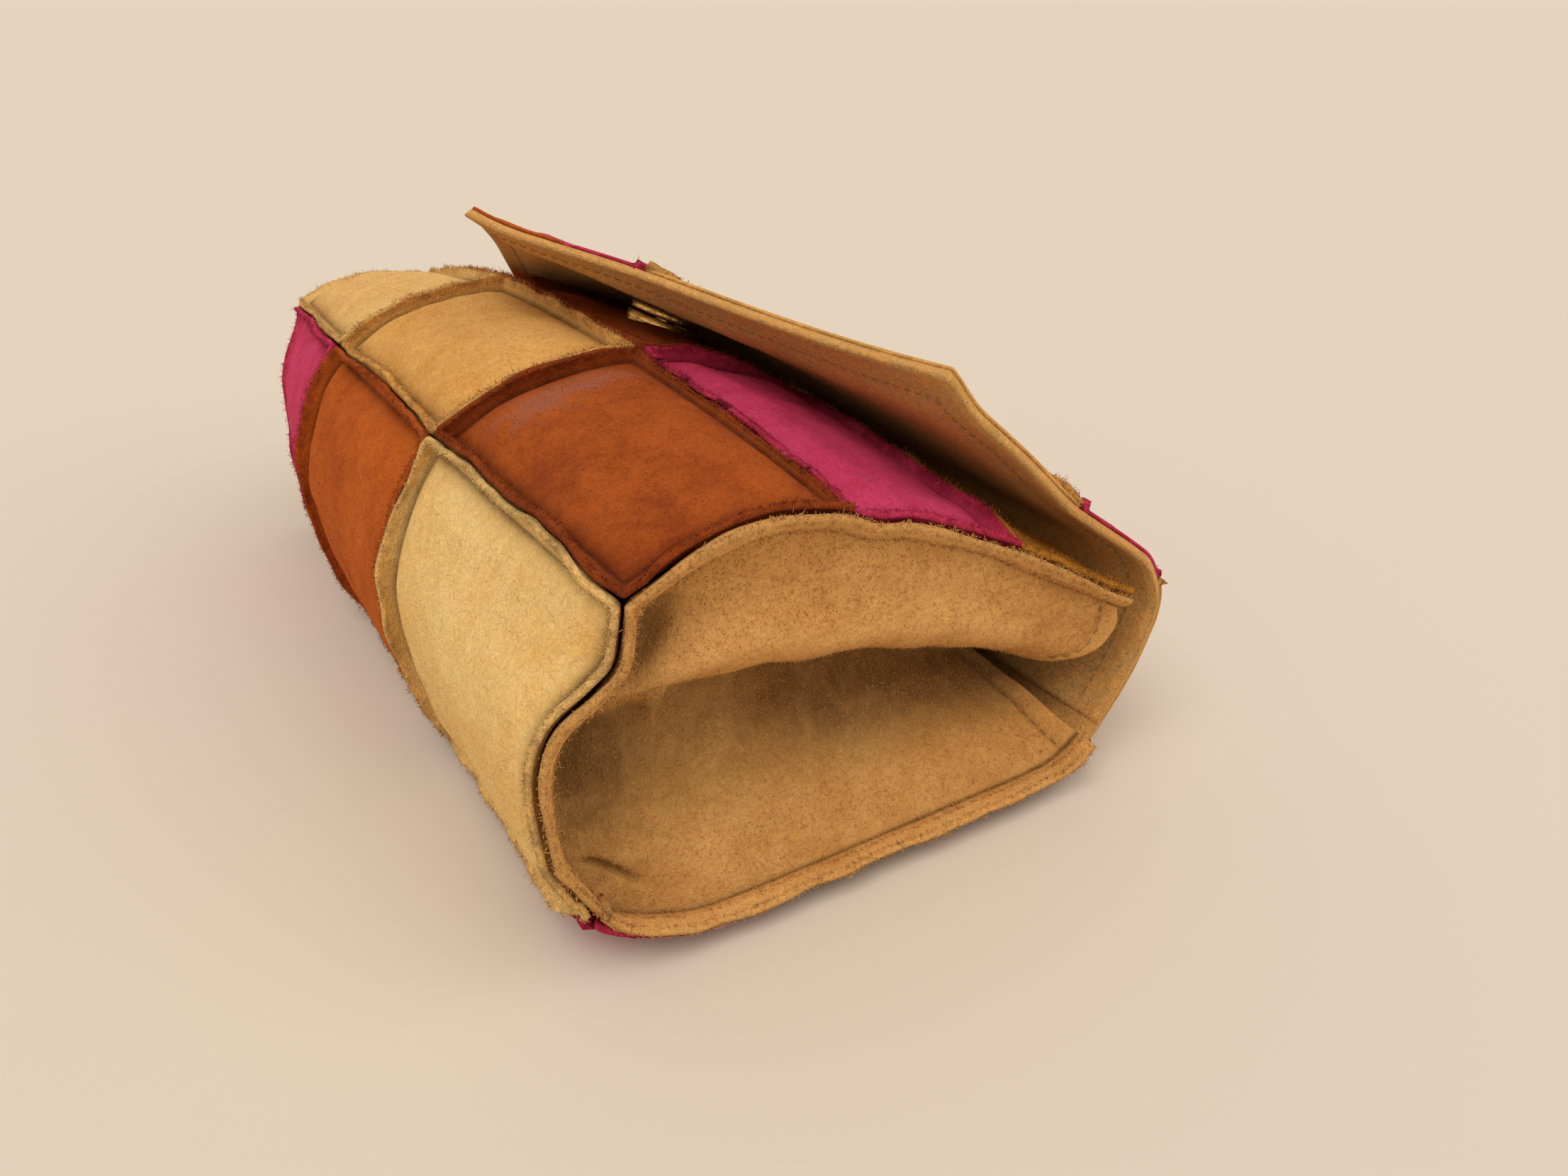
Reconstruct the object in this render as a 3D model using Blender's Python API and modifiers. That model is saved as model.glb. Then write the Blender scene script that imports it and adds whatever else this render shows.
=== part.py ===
"""Small suede patchwork flap bag, lying on its back panel, flap folded over and snapped shut.

X runs along the bag, Y from its base to its mouth, Z up from the surface it lies on.
The outer shell is rectangular suede patches whose edges turn outward and stand as ridges.
"""

import math

import bmesh
import bpy
from mathutils import Matrix, Vector

# Driving dimensions, in metres
COLUMN_WIDTH = 0.0645  # one patch, seam to seam, along the bag
DEPTH = 0.091  # base seam to mouth edge of the front panel
HEIGHT = 0.060  # front seam of the base above the surface
SUEDE = 0.0011  # outer patches and gussets
LINING = 0.0010
LINING_CLEARANCE = 0.0012  # room between shell and lining, where the snap's washers lie
GAP = 0.0003  # between touching pieces
GUSSET_GAP = 0.0006  # between a gusset's rim and the patches it is sewn to
TINY = 0.000001
MERGE = 0.00001
RIDGE = 0.0025  # raised seam edges on front and base
BACK_RIDGE = 0.0020  # the same edges pressed low under the back
FLAP_RIDGE = 0.0017
MOUTH_TAPER = 0.012  # over which the front's ridges run out before the mouth
MOUTH_LEAST = 0.15  # share of a ridge's height left at the mouth
SEAM_TAPER = 0.005  # over which the flap's ridges rise from its seam
SEAM_LEAST = 0.1
END_BAND = 0.0034  # seam edge that rims each gusset
BACK_BAND = 0.0018  # the back patches' own edge below that rim
HINGE_ROW = 0.032  # flap rows, along the flap from its seam with the back
FLAP_ROW = 0.028
TIP_SEAM = 0.1175
FLAP_TIP = 0.1290
FLAP_SIDES = (0.078, 0.099)  # far and near
POINT_POWERS = (1.3, 2.4)  # how sharply the edge turns into the point, far and near
POINT_ROUND = 0.035  # of the point's end, as a share of the half length
SIDE_POWERS = (1.25, 1.4)  # how late the flap's middle line turns into its far and near side lines
FLAP_FLAT = 0.1  # share of the half length over which the flap is flat on the snap
SNAP_SEAT = (0.7, 0.5, 0.0, -0.5, -0.7)  # the flat part of its middle line, in snap diameters
LINING_SETBACK = 0.0022  # linings stop short of the flap's seam
LINING_END = 0.0085  # the body lining stops short of the gussets
HEM_SETBACK = 0.0035  # gusset hem short of the flap's seam
FRONT_HEM_SETBACK = 0.00175  # and of the front panel's mouth edge
GUSSET_DEPTH = 0.021  # how far the gusset's fold reaches into the bag
GUSSET_SLANT = 0.011  # how far the fold of the hem leans to the base
GUSSET_POWER = 3  # how fast the fold deepens from the base
SNAP_DIAMETER = 0.0152
SOCKET_HEIGHT = 0.0027
STUD_HEIGHT = 0.0016
STUB_DIAMETER = 0.0042
STUB_LENGTH = 0.0010
POST_DIAMETER = 0.0030
WASHER_DIAMETER = 0.0110
WASHER = 0.0006
RIM_WALL = 0.0009
CUP_FLOOR = 0.00095
CUP_RIVET = 0.00135  # height of the rivet's head inside the cup
STUB_PLAY = 0.0014  # room around the stub in the magnet, so that it can swing out
DRILL_REACH = 0.001  # how far a drill runs past the sheet
DRILL_SIDES = 16
BEVEL = 0.0003
STUD_STEP = 0.0003  # the stud is smaller than the socket all round
TURN_STEPS = 24

# Where seams and the snap lie, as shares of the panel that holds them
FRONT_SEAMS = (0.0, 0.36, 0.695, 1.0)
BACK_SEAMS = (0.0, 0.33, 0.66, 1.0)
SNAP_AT = 0.566
MIDDLE = 0.475  # share of DEPTH that lies over the origin
CORNER_PULL = 0.035  # how far the lower base corners draw in, as a share of the half length
FAR_PULL = 0.045  # how far the far end's base draws in, as a share of the half length
END_POWER = 2.2  # how late the middle's outline turns into the ends'
BACK_FADE = 8  # how fast the drawing in fades along each panel
BASE_FADE = 3
FRONT_FADE = 2

# Outlines in the plane across the bag: shares of DEPTH and of HEIGHT above the back ridges
FLAP_SEAM = (0.972, 0.103)
BACK_NEAR = [FLAP_SEAM, (0.896, 0.024), (0.79, 0), (0.55, 0), (0.33, 0), (0.13, 0), (0.033, 0.034),
             (-0.05, 0.09), (-0.088, 0.155)]
BACK_MIDDLE = [FLAP_SEAM, (0.896, 0.021), (0.79, 0), (0.55, 0), (0.33, 0), (0.11, 0), (0.033, 0.005),
               (-0.01, 0.016), (-0.044, 0.034)]
BACK_FAR = [FLAP_SEAM, (0.896, 0.024), (0.79, 0), (0.55, 0), (0.33, 0), (0.12, 0), (0.045, 0.012),
            (-0.01, 0.045), (-0.042, 0.1)]
BASE_NEAR = [BACK_NEAR[-1], (-0.115, 0.293), (-0.133, 0.397), (-0.143, 0.534), (-0.137, 0.655), (-0.11, 0.741),
             (-0.055, 0.80), (-0.016, 0.853), (-0.005, 0.931), (0.0, 1.0)]
BASE_MIDDLE = [BACK_MIDDLE[-1], (-0.088, 0.17), (-0.122, 0.379), (-0.134, 0.552), (-0.13, 0.655), (-0.112, 0.759),
               (-0.08, 0.879), (-0.045, 0.957), (-0.011, 1.009)]
BASE_FAR = [BACK_FAR[-1], (-0.06, 0.25), (-0.065, 0.39), (-0.067, 0.53), (-0.058, 0.65), (-0.036, 0.735),
            (-0.005, 0.80), (0.018, 0.85), (0.03, 0.90), (0.036, 0.94)]
FRONT_NEAR = [BASE_NEAR[-1], (0.055, 1.034), (0.11, 1.066), (0.22, 1.097), (0.33, 1.074), (0.41, 1.022),
              (0.484, 0.991), (0.642, 0.891), (0.736, 0.805), (0.879, 0.681), (1.0, 0.578)]
FRONT_MIDDLE = [BASE_MIDDLE[-1], (0.088, 1.095), (0.187, 1.138), (0.308, 1.164), (0.418, 1.155), (0.527, 1.103),
                (0.637, 1.02), (0.769, 0.88), (0.879, 0.74), (0.989, 0.6)]
FRONT_FAR = [BASE_FAR[-1], (0.08, 0.975), (0.13, 1.0), (0.22, 1.018), (0.33, 0.995), (0.41, 0.95),
             (0.484, 0.905), (0.642, 0.81), (0.736, 0.745), (0.879, 0.65), (1.0, 0.575)]
FLAP_NEAR = [FLAP_SEAM, (1.022, 0.198), (1.062, 0.29), (1.09, 0.384), (1.108, 0.466), (1.106, 0.552),
             (1.068, 0.666), (1.012, 0.741), (0.902, 0.862), (0.84, 0.934), (0.735, 1.088), (0.616, 1.266),
             (0.532, 1.397)]
FLAP_KNEE = [FLAP_SEAM, (1.02, 0.198), (1.066, 0.328), (1.086, 0.474), (1.066, 0.612), (1.01, 0.759),
             (0.93, 0.88), (0.85, 0.985)]
FLAP_POINT = [(0.4725, 1.328), (0.385, 1.408), (0.30, 1.468), (0.225, 1.522), (0.17, 1.60)]
FLAP_FAR = [FLAP_SEAM, (1.045, 0.2), (1.085, 0.33), (1.1, 0.46), (1.085, 0.6), (1.03, 0.71), (0.94, 0.80),
            (0.83, 0.87), (0.72, 0.915), (0.64, 0.93)]
# The gusset's fold: share of its height from back to front, share of its depth
FOLD = [(0, 0), (0.1, 0.22), (0.2, 0.45), (0.35, 0.78), (0.47, 1.0), (0.55, 0.93), (0.62, 0.62), (0.72, 0.34),
        (0.86, 0.13), (1, 0)]

CORNER_LOOK = 0.03  # share of a panel over which its slope at a seam is taken
LOOK = 0.01  # share over which a slope is taken elsewhere
INSIDE = 0.988  # slopes are taken no further out than this share
END_INSIDE = 0.98
FLAP_LOOK = 0.0005  # metres along the flap
SQUARENESS = 0.1  # least squared sine between a leaning ridge and its patch
MITRE_LEAST = 0.5  # least cosine in a mitre

# Spans of faces in one patch or sheet
ACROSS = 4
BASE_SPANS = 10
ROW_SPANS = 4
GUSSET_SPANS = (12, 16)
LINING_SPANS = 8
BACK_LINING_SPANS = 9
FRONT_LINING_SPANS = 12
HINGE_SPANS = 7

COLUMNS = ("far", "middle", "near")
HALF_LENGTH = 1.5 * COLUMN_WIDTH
END_LEAN = math.radians(45)  # of the edges along the end seams, on base and front
LEAN_SHARE = 0.25  # share of the base over which they lift from flat to that lean

# Suede and brass: colour, roughness, metallic
FINISHES = {
    "suede_cream": ((0.72, 0.50, 0.22), 0.95, 0.0),
    "suede_tan": ((0.55, 0.32, 0.12), 0.95, 0.0),
    "suede_pale": ((0.70, 0.54, 0.26), 0.95, 0.0),
    "suede_rust": ((0.22, 0.055, 0.018), 0.95, 0.0),
    "suede_brown": ((0.36, 0.13, 0.035), 0.95, 0.0),
    "suede_pink": ((0.55, 0.06, 0.22), 0.95, 0.0),
    "suede_ochre": ((0.50, 0.24, 0.05), 0.95, 0.0),
    "lining_tan": ((0.52, 0.30, 0.11), 0.95, 0.0),
    "brass": ((0.62, 0.42, 0.16), 0.30, 1.0),
    "magnet_grey": ((0.20, 0.20, 0.20), 0.45, 1.0),
}
# Colour of each patch, far to near
PATCHWORK = {
    "base": ("suede_pink", "suede_brown", "suede_cream"),
    "front_row_1": ("suede_pale", "suede_tan", "suede_rust"),
    "front_row_2": ("suede_brown", "suede_rust", "suede_pink"),
    "front_row_3": ("suede_tan", "suede_pale", "suede_ochre"),
    "back_row_1": ("suede_rust", "suede_tan", "suede_pink"),
    "back_row_2": ("suede_tan", "suede_pink", "suede_ochre"),
    "back_row_3": ("suede_pink", "suede_pale", "suede_brown"),
    "hinge_row": ("suede_brown", "suede_pink", "suede_tan"),
    "flap_row_1": ("suede_tan", "suede_brown", "suede_pink"),
    "flap_row_2": ("suede_rust", "suede_pink", "suede_tan"),
    "flap_tip": ("suede_brown",),
}


class Path:
    """A smooth line through points, read by the distance run along it, and straight past its end."""

    def __init__(self, points, steps=16):
        points = [Vector(p) for p in points]
        ends = [2 * points[0] - points[1], *points, 2 * points[-1] - points[-2]]
        self.line = []
        for a, b, c, d in zip(ends, ends[1:], ends[2:], ends[3:]):
            for i in range(steps):
                self.line.append(catmull_rom(a, b, c, d, i / steps))
        self.line.append(points[-1])
        self.run = [0.0]
        for a, b in zip(self.line, self.line[1:]):
            self.run.append(self.run[-1] + (b - a).length)
        self.length = self.run[-1]

    def at(self, distance):
        if distance >= self.length:
            ahead = (self.line[-1] - self.line[-2]).normalized()
            return self.line[-1] + ahead * (distance - self.length)
        i = 0
        while self.run[i + 1] < distance:
            i += 1
        share = (distance - self.run[i]) / (self.run[i + 1] - self.run[i])
        return self.line[i].lerp(self.line[i + 1], share)


def catmull_rom(a, b, c, d, t):
    return 0.5 * (2 * b + (c - a) * t + (2 * a - 5 * b + 4 * c - d) * t * t + (3 * b - a - 3 * c + d) * t ** 3)


def across(outline):
    """An outline of shares as points in metres; nothing dips below the back ridges' tops."""
    return [(DEPTH * (y - MIDDLE), BACK_RIDGE + max(z, 0.0) * (HEIGHT - BACK_RIDGE)) for y, z in outline]


PANELS = {
    "back": [Path(across(outline)) for outline in (BACK_FAR, BACK_MIDDLE, BACK_NEAR)],
    "base": [Path(across(outline)) for outline in (BASE_FAR, BASE_MIDDLE, BASE_NEAR)],
    "front": [Path(across(outline)) for outline in (FRONT_FAR, FRONT_MIDDLE, FRONT_NEAR)],
}


def draw_in(panel, u, share):
    """How much shorter the bag is along this line of the panel."""
    corner = {"back": share ** BACK_FADE, "base": (1 - share) ** BASE_FADE, "front": 0.0}[panel]
    far = {"back": share ** BACK_FADE, "base": 1.0, "front": max(0.0, 1 - share) ** FRONT_FADE}[panel]
    return 1 - CORNER_PULL * corner - (FAR_PULL * far * u * u if u < 0 else 0.0)


def panel_point(panel, u, share):
    """The shell's outer face: u from -1 at the far end to 1 at the near end, share along the panel."""
    far, middle, near = PANELS[panel]
    end = near if u > 0 else far
    y, z = middle.at(share * middle.length).lerp(end.at(share * end.length), abs(u) ** END_POWER)
    return Vector((u * HALF_LENGTH * draw_in(panel, u, share), y, max(z, BACK_RIDGE)))


def panel_length(panel, u):
    far, middle, near = PANELS[panel]
    return middle.length + ((near if u > 0 else far).length - middle.length) * abs(u) ** END_POWER


def snap_stack():
    """From the front panel's outer face to the flap's outer face, at the snap."""
    return SOCKET_HEIGHT + STUD_HEIGHT + 3 * GAP + LINING + LINING_CLEARANCE + SUEDE


def normal_at(place, u, v, du=LOOK, dv=LOOK):
    """Square to the face, to the left of the way onward as the near end sees it."""
    along = place(u + du, v) - place(u - du, v)
    onward = place(u, v + dv) - place(u, v - dv)
    return along.cross(onward).normalized()


def front_frame():
    """Place, outward direction and direction to the mouth of the snap's seat on the front panel."""
    spot = panel_point("front", 0.0, SNAP_AT)
    onward = panel_point("front", 0.0, SNAP_AT + CORNER_LOOK) - panel_point("front", 0.0, SNAP_AT - CORNER_LOOK)
    ahead = onward.normalized()
    return spot, Vector((1, 0, 0)).cross(ahead).normalized(), ahead


def flap_middle():
    """The flap's centre line: over the mouth, flat on the snap, then up to the point."""
    spot, out, ahead = front_frame()
    over = spot + out * snap_stack()
    seat = [over + ahead * (SNAP_DIAMETER * reach) for reach in SNAP_SEAT]
    return Path(across(FLAP_KNEE) + [(p.y, p.z) for p in seat] + across(FLAP_POINT))


FLAP_LINES = (Path(across(FLAP_FAR)), flap_middle(), Path(across(FLAP_NEAR)))


def flap_point(u, run):
    """The flap's outer face, run metres from its seam with the back."""
    far, middle, near = FLAP_LINES
    side = near if u > 0 else far
    aside = max(0.0, abs(u) - FLAP_FLAT) / (1 - FLAP_FLAT)
    y, z = middle.at(run).lerp(side.at(run), aside ** SIDE_POWERS[u > 0])
    return Vector((u * HALF_LENGTH, y, z))


def flap_edge(u):
    """Length of the flap at u: its sides sweep into a rounded point."""
    side = FLAP_SIDES[u > 0]
    away = (math.hypot(u, POINT_ROUND) - POINT_ROUND) / (math.hypot(1, POINT_ROUND) - POINT_ROUND)
    return side + (FLAP_TIP - side) * max(0.0, 1 - away) ** POINT_POWERS[u > 0]


def point_reach(near, length):
    """How far from the middle, on the near or far side, the flap is this long."""
    side = FLAP_SIDES[near]
    away = 1 - ((length - side) / (FLAP_TIP - side)) ** (1 / POINT_POWERS[near])
    reach = away * (math.hypot(1, POINT_ROUND) - POINT_ROUND) + POINT_ROUND
    return math.sqrt(reach ** 2 - POINT_ROUND ** 2)


def panel_normal(panel, u, share):
    inside = min(max(share, 1 - INSIDE), INSIDE)
    u = min(max(u, -END_INSIDE), END_INSIDE)
    return normal_at(lambda a, b: panel_point(panel, a, b), u, inside)


def seam_direction(panel, u, share):
    """The way a ridge stands: the panel's normal, or between two panels' normals at their seam."""
    here = panel_normal(panel, u, share)
    beside = {("back", 1.0): ("base", 0.0), ("base", 0.0): ("back", 1.0),
              ("base", 1.0): ("front", 0.0), ("front", 0.0): ("base", 1.0)}.get((panel, round(share, 6)))
    if beside is None:
        return here
    return (here + panel_normal(beside[0], u, beside[1])).normalized()


def flap_normal(u, run):
    u = min(max(u, -END_INSIDE), END_INSIDE)
    return -normal_at(flap_point, u, max(run, FLAP_LOOK), dv=FLAP_LOOK)


def collection(name):
    made = bpy.data.collections.new(name)
    bpy.context.scene.collection.children.link(made)
    return made


def material(name):
    if name in bpy.data.materials:
        return bpy.data.materials[name]
    colour, roughness, metallic = FINISHES[name]
    made = bpy.data.materials.new(name)
    made.use_nodes = True
    made.diffuse_color = (*colour, 1)
    shader = made.node_tree.nodes["Principled BSDF"]
    shader.inputs["Base Color"].default_value = (*colour, 1)
    shader.inputs["Roughness"].default_value = roughness
    shader.inputs["Metallic"].default_value = metallic
    return made


def add_object(name, mesh, finish):
    made = bpy.data.objects.new(name, mesh)
    made.data.materials.append(material(finish))
    PARTS.objects.link(made)
    return made


def solidify(piece, thickness):
    """Thickness goes inward, away from the faces' normals."""
    change = piece.modifiers.new("thickness", "SOLIDIFY")
    change.thickness = thickness
    change.offset = -1
    change.use_even_offset = True
    change.use_quality_normals = True


def grid_sheet(name, rows, turned, thickness, finish):
    """A sheet from rows of points, with turned-up edges joined on: side -> points past that side."""
    built = bmesh.new()
    verts = [[built.verts.new(p) for p in row] for row in rows]
    for row, above in zip(verts, verts[1:]):
        for a, b, c, d in zip(row, row[1:], above[1:], above):
            built.faces.new((a, b, c, d))
    borders = {
        "start": verts[0],
        "finish": verts[-1],
        "left": [row[0] for row in verts],
        "right": [row[-1] for row in verts],
    }
    corners = {}
    for side, points in turned.items():
        edge = borders[side]
        lip = []
        for base, point in zip(edge, points):
            if base not in corners:
                corners[base] = built.verts.new(point)
            lip.append(corners[base])
        for a, b, c, d in zip(edge, edge[1:], lip[1:], lip):
            built.faces.new((a, b, c, d))
    bmesh.ops.recalc_face_normals(built, faces=built.faces)
    mesh = bpy.data.meshes.new(name)
    built.to_mesh(mesh)
    built.free()
    piece = add_object(name, mesh, finish)
    solidify(piece, thickness)
    return piece


def face_outward(piece, direction_at_first_face):
    """Turns the sheet's normals so that its first face looks along the given direction."""
    if piece.data.polygons[0].normal.dot(direction_at_first_face) < 0:
        piece.data.flip_normals()


def patch(name, place, stand, finish, spans, edges, ridges):
    """One patch between four seams, its edges turned out and standing as ridges where ridges says.

    place(a, b) is the outer face with a and b from 0 to 1; stand(side, a, b) is the way that side's ridge
    stands. edges gives the inset of each side as a share of a or b, ridges the height of each ridge.
    """
    across_spans, along_spans = spans
    spots = []
    for j in range(along_spans + 1):
        row = []
        for i in range(across_spans + 1):
            a = edges["left"] + (1 - edges["left"] - edges["right"]) * i / across_spans
            low, high = edges["start"](a), edges["finish"](a)
            row.append((a, low + (1 - low - high) * j / along_spans))
        spots.append(row)
    borders = {
        "start": spots[0],
        "finish": spots[-1],
        "left": [row[0] for row in spots],
        "right": [row[-1] for row in spots],
    }
    turned = {}
    for side, ridge in ridges.items():
        turned[side] = [place(a, b) + stand(side, a, b) * ridge(a, b) for a, b in borders[side]]
    rows = [[place(a, b) for a, b in row] for row in spots]
    piece = grid_sheet(name, rows, turned, SUEDE, finish)
    face_outward(piece, stand("face", *spots[0][0]))
    return piece


def end_lip_direction(panel, u, share):
    """The gusset seam's edges lean outward from the bag's end, and lie flat along the back."""
    lean = END_LEAN * {"back": 0.0, "base": min(1.0, share / LEAN_SHARE), "front": 1.0}[panel]
    out = seam_direction(panel, u, share)
    return (Vector((math.copysign(1, u), 0, 0)) * math.cos(lean) + out * math.sin(lean)).normalized()


def body_patch(name, panel, column, span, finish, ridge, spans):
    """A patch of the bag's body, in one column, between two shares of its panel."""
    u_low, u_high = -1 + 2 * column / 3, -1 + 2 * (column + 1) / 3
    low, high = span
    seam_inset = SUEDE + GAP / 2
    open_mouth = panel == "front" and high == 1.0

    def u_of(a):
        return u_low + (u_high - u_low) * a

    def share_of(b):
        return low + (high - low) * b

    def stand(side, a, b):
        u, share = u_of(a), share_of(b)
        if side == "face":
            return panel_normal(panel, u, share)
        if b <= edges["start"](a) + TINY:
            share = low
        if b >= 1 - edges["finish"](a) - TINY:
            share = high
        if (side == "left" and column == 0) or (side == "right" and column == 2):
            return end_lip_direction(panel, u, share)
        return seam_direction(panel, u, share)

    def corner_inset(a, side_share, inside_share):
        """A ridge between two panels leans, so the patch stops further from the seam."""
        u = u_of(a)
        out = seam_direction(panel, u, side_share)
        ahead = (panel_point(panel, u, inside_share) - panel_point(panel, u, side_share)).normalized()
        leaned = abs(ahead.dot(out))
        inset = seam_inset + (GAP / 2 if side_share in (0.0, 1.0) else 0.0)
        return inset / math.sqrt(max(SQUARENESS, 1 - leaned * leaned)) / (panel_length(panel, u) * (high - low))

    def mouth_inset(a):
        return GAP / (panel_length(panel, u_of(a)) * (high - low))

    def column_ridge(a, b):
        """The front's ridges run out before the mouth, where the flap lies on them."""
        if panel != "front":
            return ridge
        left = (1 - share_of(b)) * PANELS[panel][1].length
        return ridge * min(1.0, MOUTH_LEAST + left / MOUTH_TAPER)

    band = BACK_BAND if panel == "back" else END_BAND
    end_inset = SUEDE / COLUMN_WIDTH
    edges = {
        "left": seam_inset / COLUMN_WIDTH if column else end_inset,
        "right": seam_inset / COLUMN_WIDTH if column < 2 else end_inset,
        "start": lambda a: corner_inset(a, low, low + CORNER_LOOK),
        "finish": mouth_inset if open_mouth else lambda a: corner_inset(a, high, high - CORNER_LOOK),
    }
    ridges = {
        "left": column_ridge if column else lambda a, b: band,
        "right": column_ridge if column < 2 else lambda a, b: band,
        "start": lambda a, b: ridge,
    }
    if not open_mouth:
        ridges["finish"] = lambda a, b: ridge
    return patch(name, lambda a, b: panel_point(panel, u_of(a), share_of(b)), stand, finish,
                 spans, edges, ridges)


def build_body_patches():
    for column, side in enumerate(COLUMNS):
        body_patch(f"base_patch_{side}", "base", column, (0.0, 1.0), PATCHWORK["base"][column],
                   RIDGE, (ACROSS, BASE_SPANS))
        for row in range(3):
            finish = PATCHWORK[f"front_row_{row + 1}"][column]
            body_patch(f"front_row_{row + 1}_{side}", "front", column, FRONT_SEAMS[row:row + 2], finish,
                       RIDGE, (ACROSS, ROW_SPANS))
            finish = PATCHWORK[f"back_row_{row + 1}"][column]
            body_patch(f"back_row_{row + 1}_{side}", "back", column, BACK_SEAMS[2 - row:4 - row], finish,
                       BACK_RIDGE, (ACROSS, ROW_SPANS))


def flap_patch(name, u_span, run_of, finish, spans, joined):
    """A patch of the flap; joined names the sides that are sewn to another patch."""
    u_low, u_high = u_span
    width = (u_high - u_low) * HALF_LENGTH

    def u_of(a):
        return u_low + (u_high - u_low) * a

    def run(a, b):
        low, high = run_of(u_of(a))
        return low + (high - low) * b

    def stand(side, a, b):
        return flap_normal(u_of(a), run(a, b))

    def ridge(a, b):
        """Ridges rise from nothing at the flap's seam, so that the flap can swing back."""
        return FLAP_RIDGE * min(1.0, SEAM_LEAST + run(a, b) / SEAM_TAPER)

    def length(a):
        return run(a, 1) - run(a, 0)

    seam_inset = SUEDE + GAP / 2
    inset = {side: seam_inset if side in joined else GAP / 2 for side in ("left", "right", "start", "finish")}
    edges = {
        "left": inset["left"] / width,
        "right": inset["right"] / width,
        "start": lambda a: inset["start"] / length(a),
        "finish": lambda a: inset["finish"] / length(a),
    }
    ridges = {side: ridge for side in inset if side in joined}
    return patch(name, lambda a, b: flap_point(u_of(a), run(a, b)), stand, finish, spans, edges, ridges)


def build_flap_patches():
    row_ends = (0.0, HINGE_ROW, HINGE_ROW + FLAP_ROW)
    for column, side in enumerate(COLUMNS):
        u_span = (-1 + 2 * column / 3, -1 + 2 * (column + 1) / 3)
        beside = {"left"} if column else set()
        if column < 2:
            beside.add("right")
        flap_patch(f"hinge_row_{side}", u_span, lambda u: (0.0, row_ends[1]),
                   PATCHWORK["hinge_row"][column], (ACROSS, HINGE_SPANS), beside | {"finish"})
        flap_patch(f"flap_row_1_{side}", u_span, lambda u: (row_ends[1], row_ends[2]),
                   PATCHWORK["flap_row_1"][column], (ACROSS, ROW_SPANS), beside | {"start", "finish"})
        flap_patch(f"flap_row_2_{side}", u_span, lambda u: (row_ends[2], min(flap_edge(u), TIP_SEAM)),
                   PATCHWORK["flap_row_2"][column], (2 * ACROSS, ROW_SPANS), beside | {"start"})
    shortest = TIP_SEAM + 2 * SUEDE
    flap_patch("flap_tip", (-point_reach(False, shortest), point_reach(True, shortest)),
               lambda u: (TIP_SEAM + GAP, flap_edge(u)),
               PATCHWORK["flap_tip"][0], (2 * ACROSS, 2), set())


def inner_point(panel, u, share, below):
    """A point below the shell's outer face; at the seams between panels it is mitred."""
    out = seam_direction(panel, u, share)
    flat = panel_normal(panel, u, share)
    return panel_point(panel, u, share) - out * below / max(MITRE_LEAST, out.dot(flat))


def build_body_lining():
    """One sheet down the back, over the base and up the front, open at the mouth and the ends."""
    below = SUEDE + LINING_CLEARANCE
    reach = 1 - LINING_END / HALF_LENGTH
    u_values = [-reach + 2 * reach * i / LINING_SPANS for i in range(LINING_SPANS + 1)]
    spots = [("back", LINING_SETBACK / PANELS["back"][1].length)]
    spots += [("back", i / BACK_LINING_SPANS) for i in range(1, BACK_LINING_SPANS)]
    spots += [("base", i / BASE_SPANS) for i in range(BASE_SPANS)]
    spots += [("front", i / FRONT_LINING_SPANS) for i in range(FRONT_LINING_SPANS + 1)]
    rows = [[inner_point(panel, u, share, below) for u in u_values] for panel, share in spots]
    piece = grid_sheet("body_lining", rows, {}, LINING, "lining_tan")
    face_outward(piece, panel_normal("back", 0.0, 0.05))
    return piece


def build_flap_lining():
    """One sheet under the whole flap, from its seam to its point."""
    below = SUEDE + LINING_CLEARANCE
    spans = 2 * LINING_SPANS
    u_values = [-1 + 2 * i / spans for i in range(spans + 1)]
    rows = []
    for k in range(spans + 1):
        share = k / spans
        row = []
        for u in u_values:
            run = LINING_SETBACK + (flap_edge(u) - LINING_SETBACK) * share
            row.append(flap_point(u, run) - flap_normal(u, run) * below)
        rows.append(row)
    piece = grid_sheet("flap_lining", rows, {}, LINING, "lining_tan")
    face_outward(piece, flap_normal(-1.0, 0.01))
    return piece


def fold_depth(t):
    """Depth share of the gusset's fold, by share of the way from back to front."""
    for (t0, d0), (t1, d1) in zip(FOLD, FOLD[1:]):
        if t <= t1:
            share = (t - t0) / (t1 - t0)
            return d0 + (d1 - d0) * share
    return 0.0


def rim_point(side, panel, share):
    """The gusset's face on its seam, two thicknesses inside the patch's turned-out edge."""
    root = panel_point(panel, side * (1 - SUEDE / HALF_LENGTH), share)
    lip = end_lip_direction(panel, side, share)
    out = seam_direction(panel, side, share)
    inward = (lip * lip.dot(out) - out).normalized()
    return root + inward * (2 * SUEDE + GUSSET_GAP)


def gusset_point(side, w, t):
    """The gusset's face: w from base to mouth, t from back seam to front seam."""
    back = rim_point(side, "back", back_share(w))
    front = rim_point(side, "front", front_share(w))
    base = rim_point(side, "base", t)
    level = rim_point(side, "base", 0.0).lerp(rim_point(side, "base", 1.0), t)
    flat = back.lerp(front, t) + (1 - w) * (base - level)
    depth = GUSSET_DEPTH * (1 - (1 - w) ** GUSSET_POWER) * fold_depth(t)
    return flat - Vector((side * depth, GUSSET_SLANT * w ** GUSSET_POWER * fold_depth(t), 0))


def back_share(w):
    return 1 - w * (1 - HEM_SETBACK / PANELS["back"][1].length)


def front_share(w):
    return w * (1 - FRONT_HEM_SETBACK / PANELS["front"][1].length)


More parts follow.
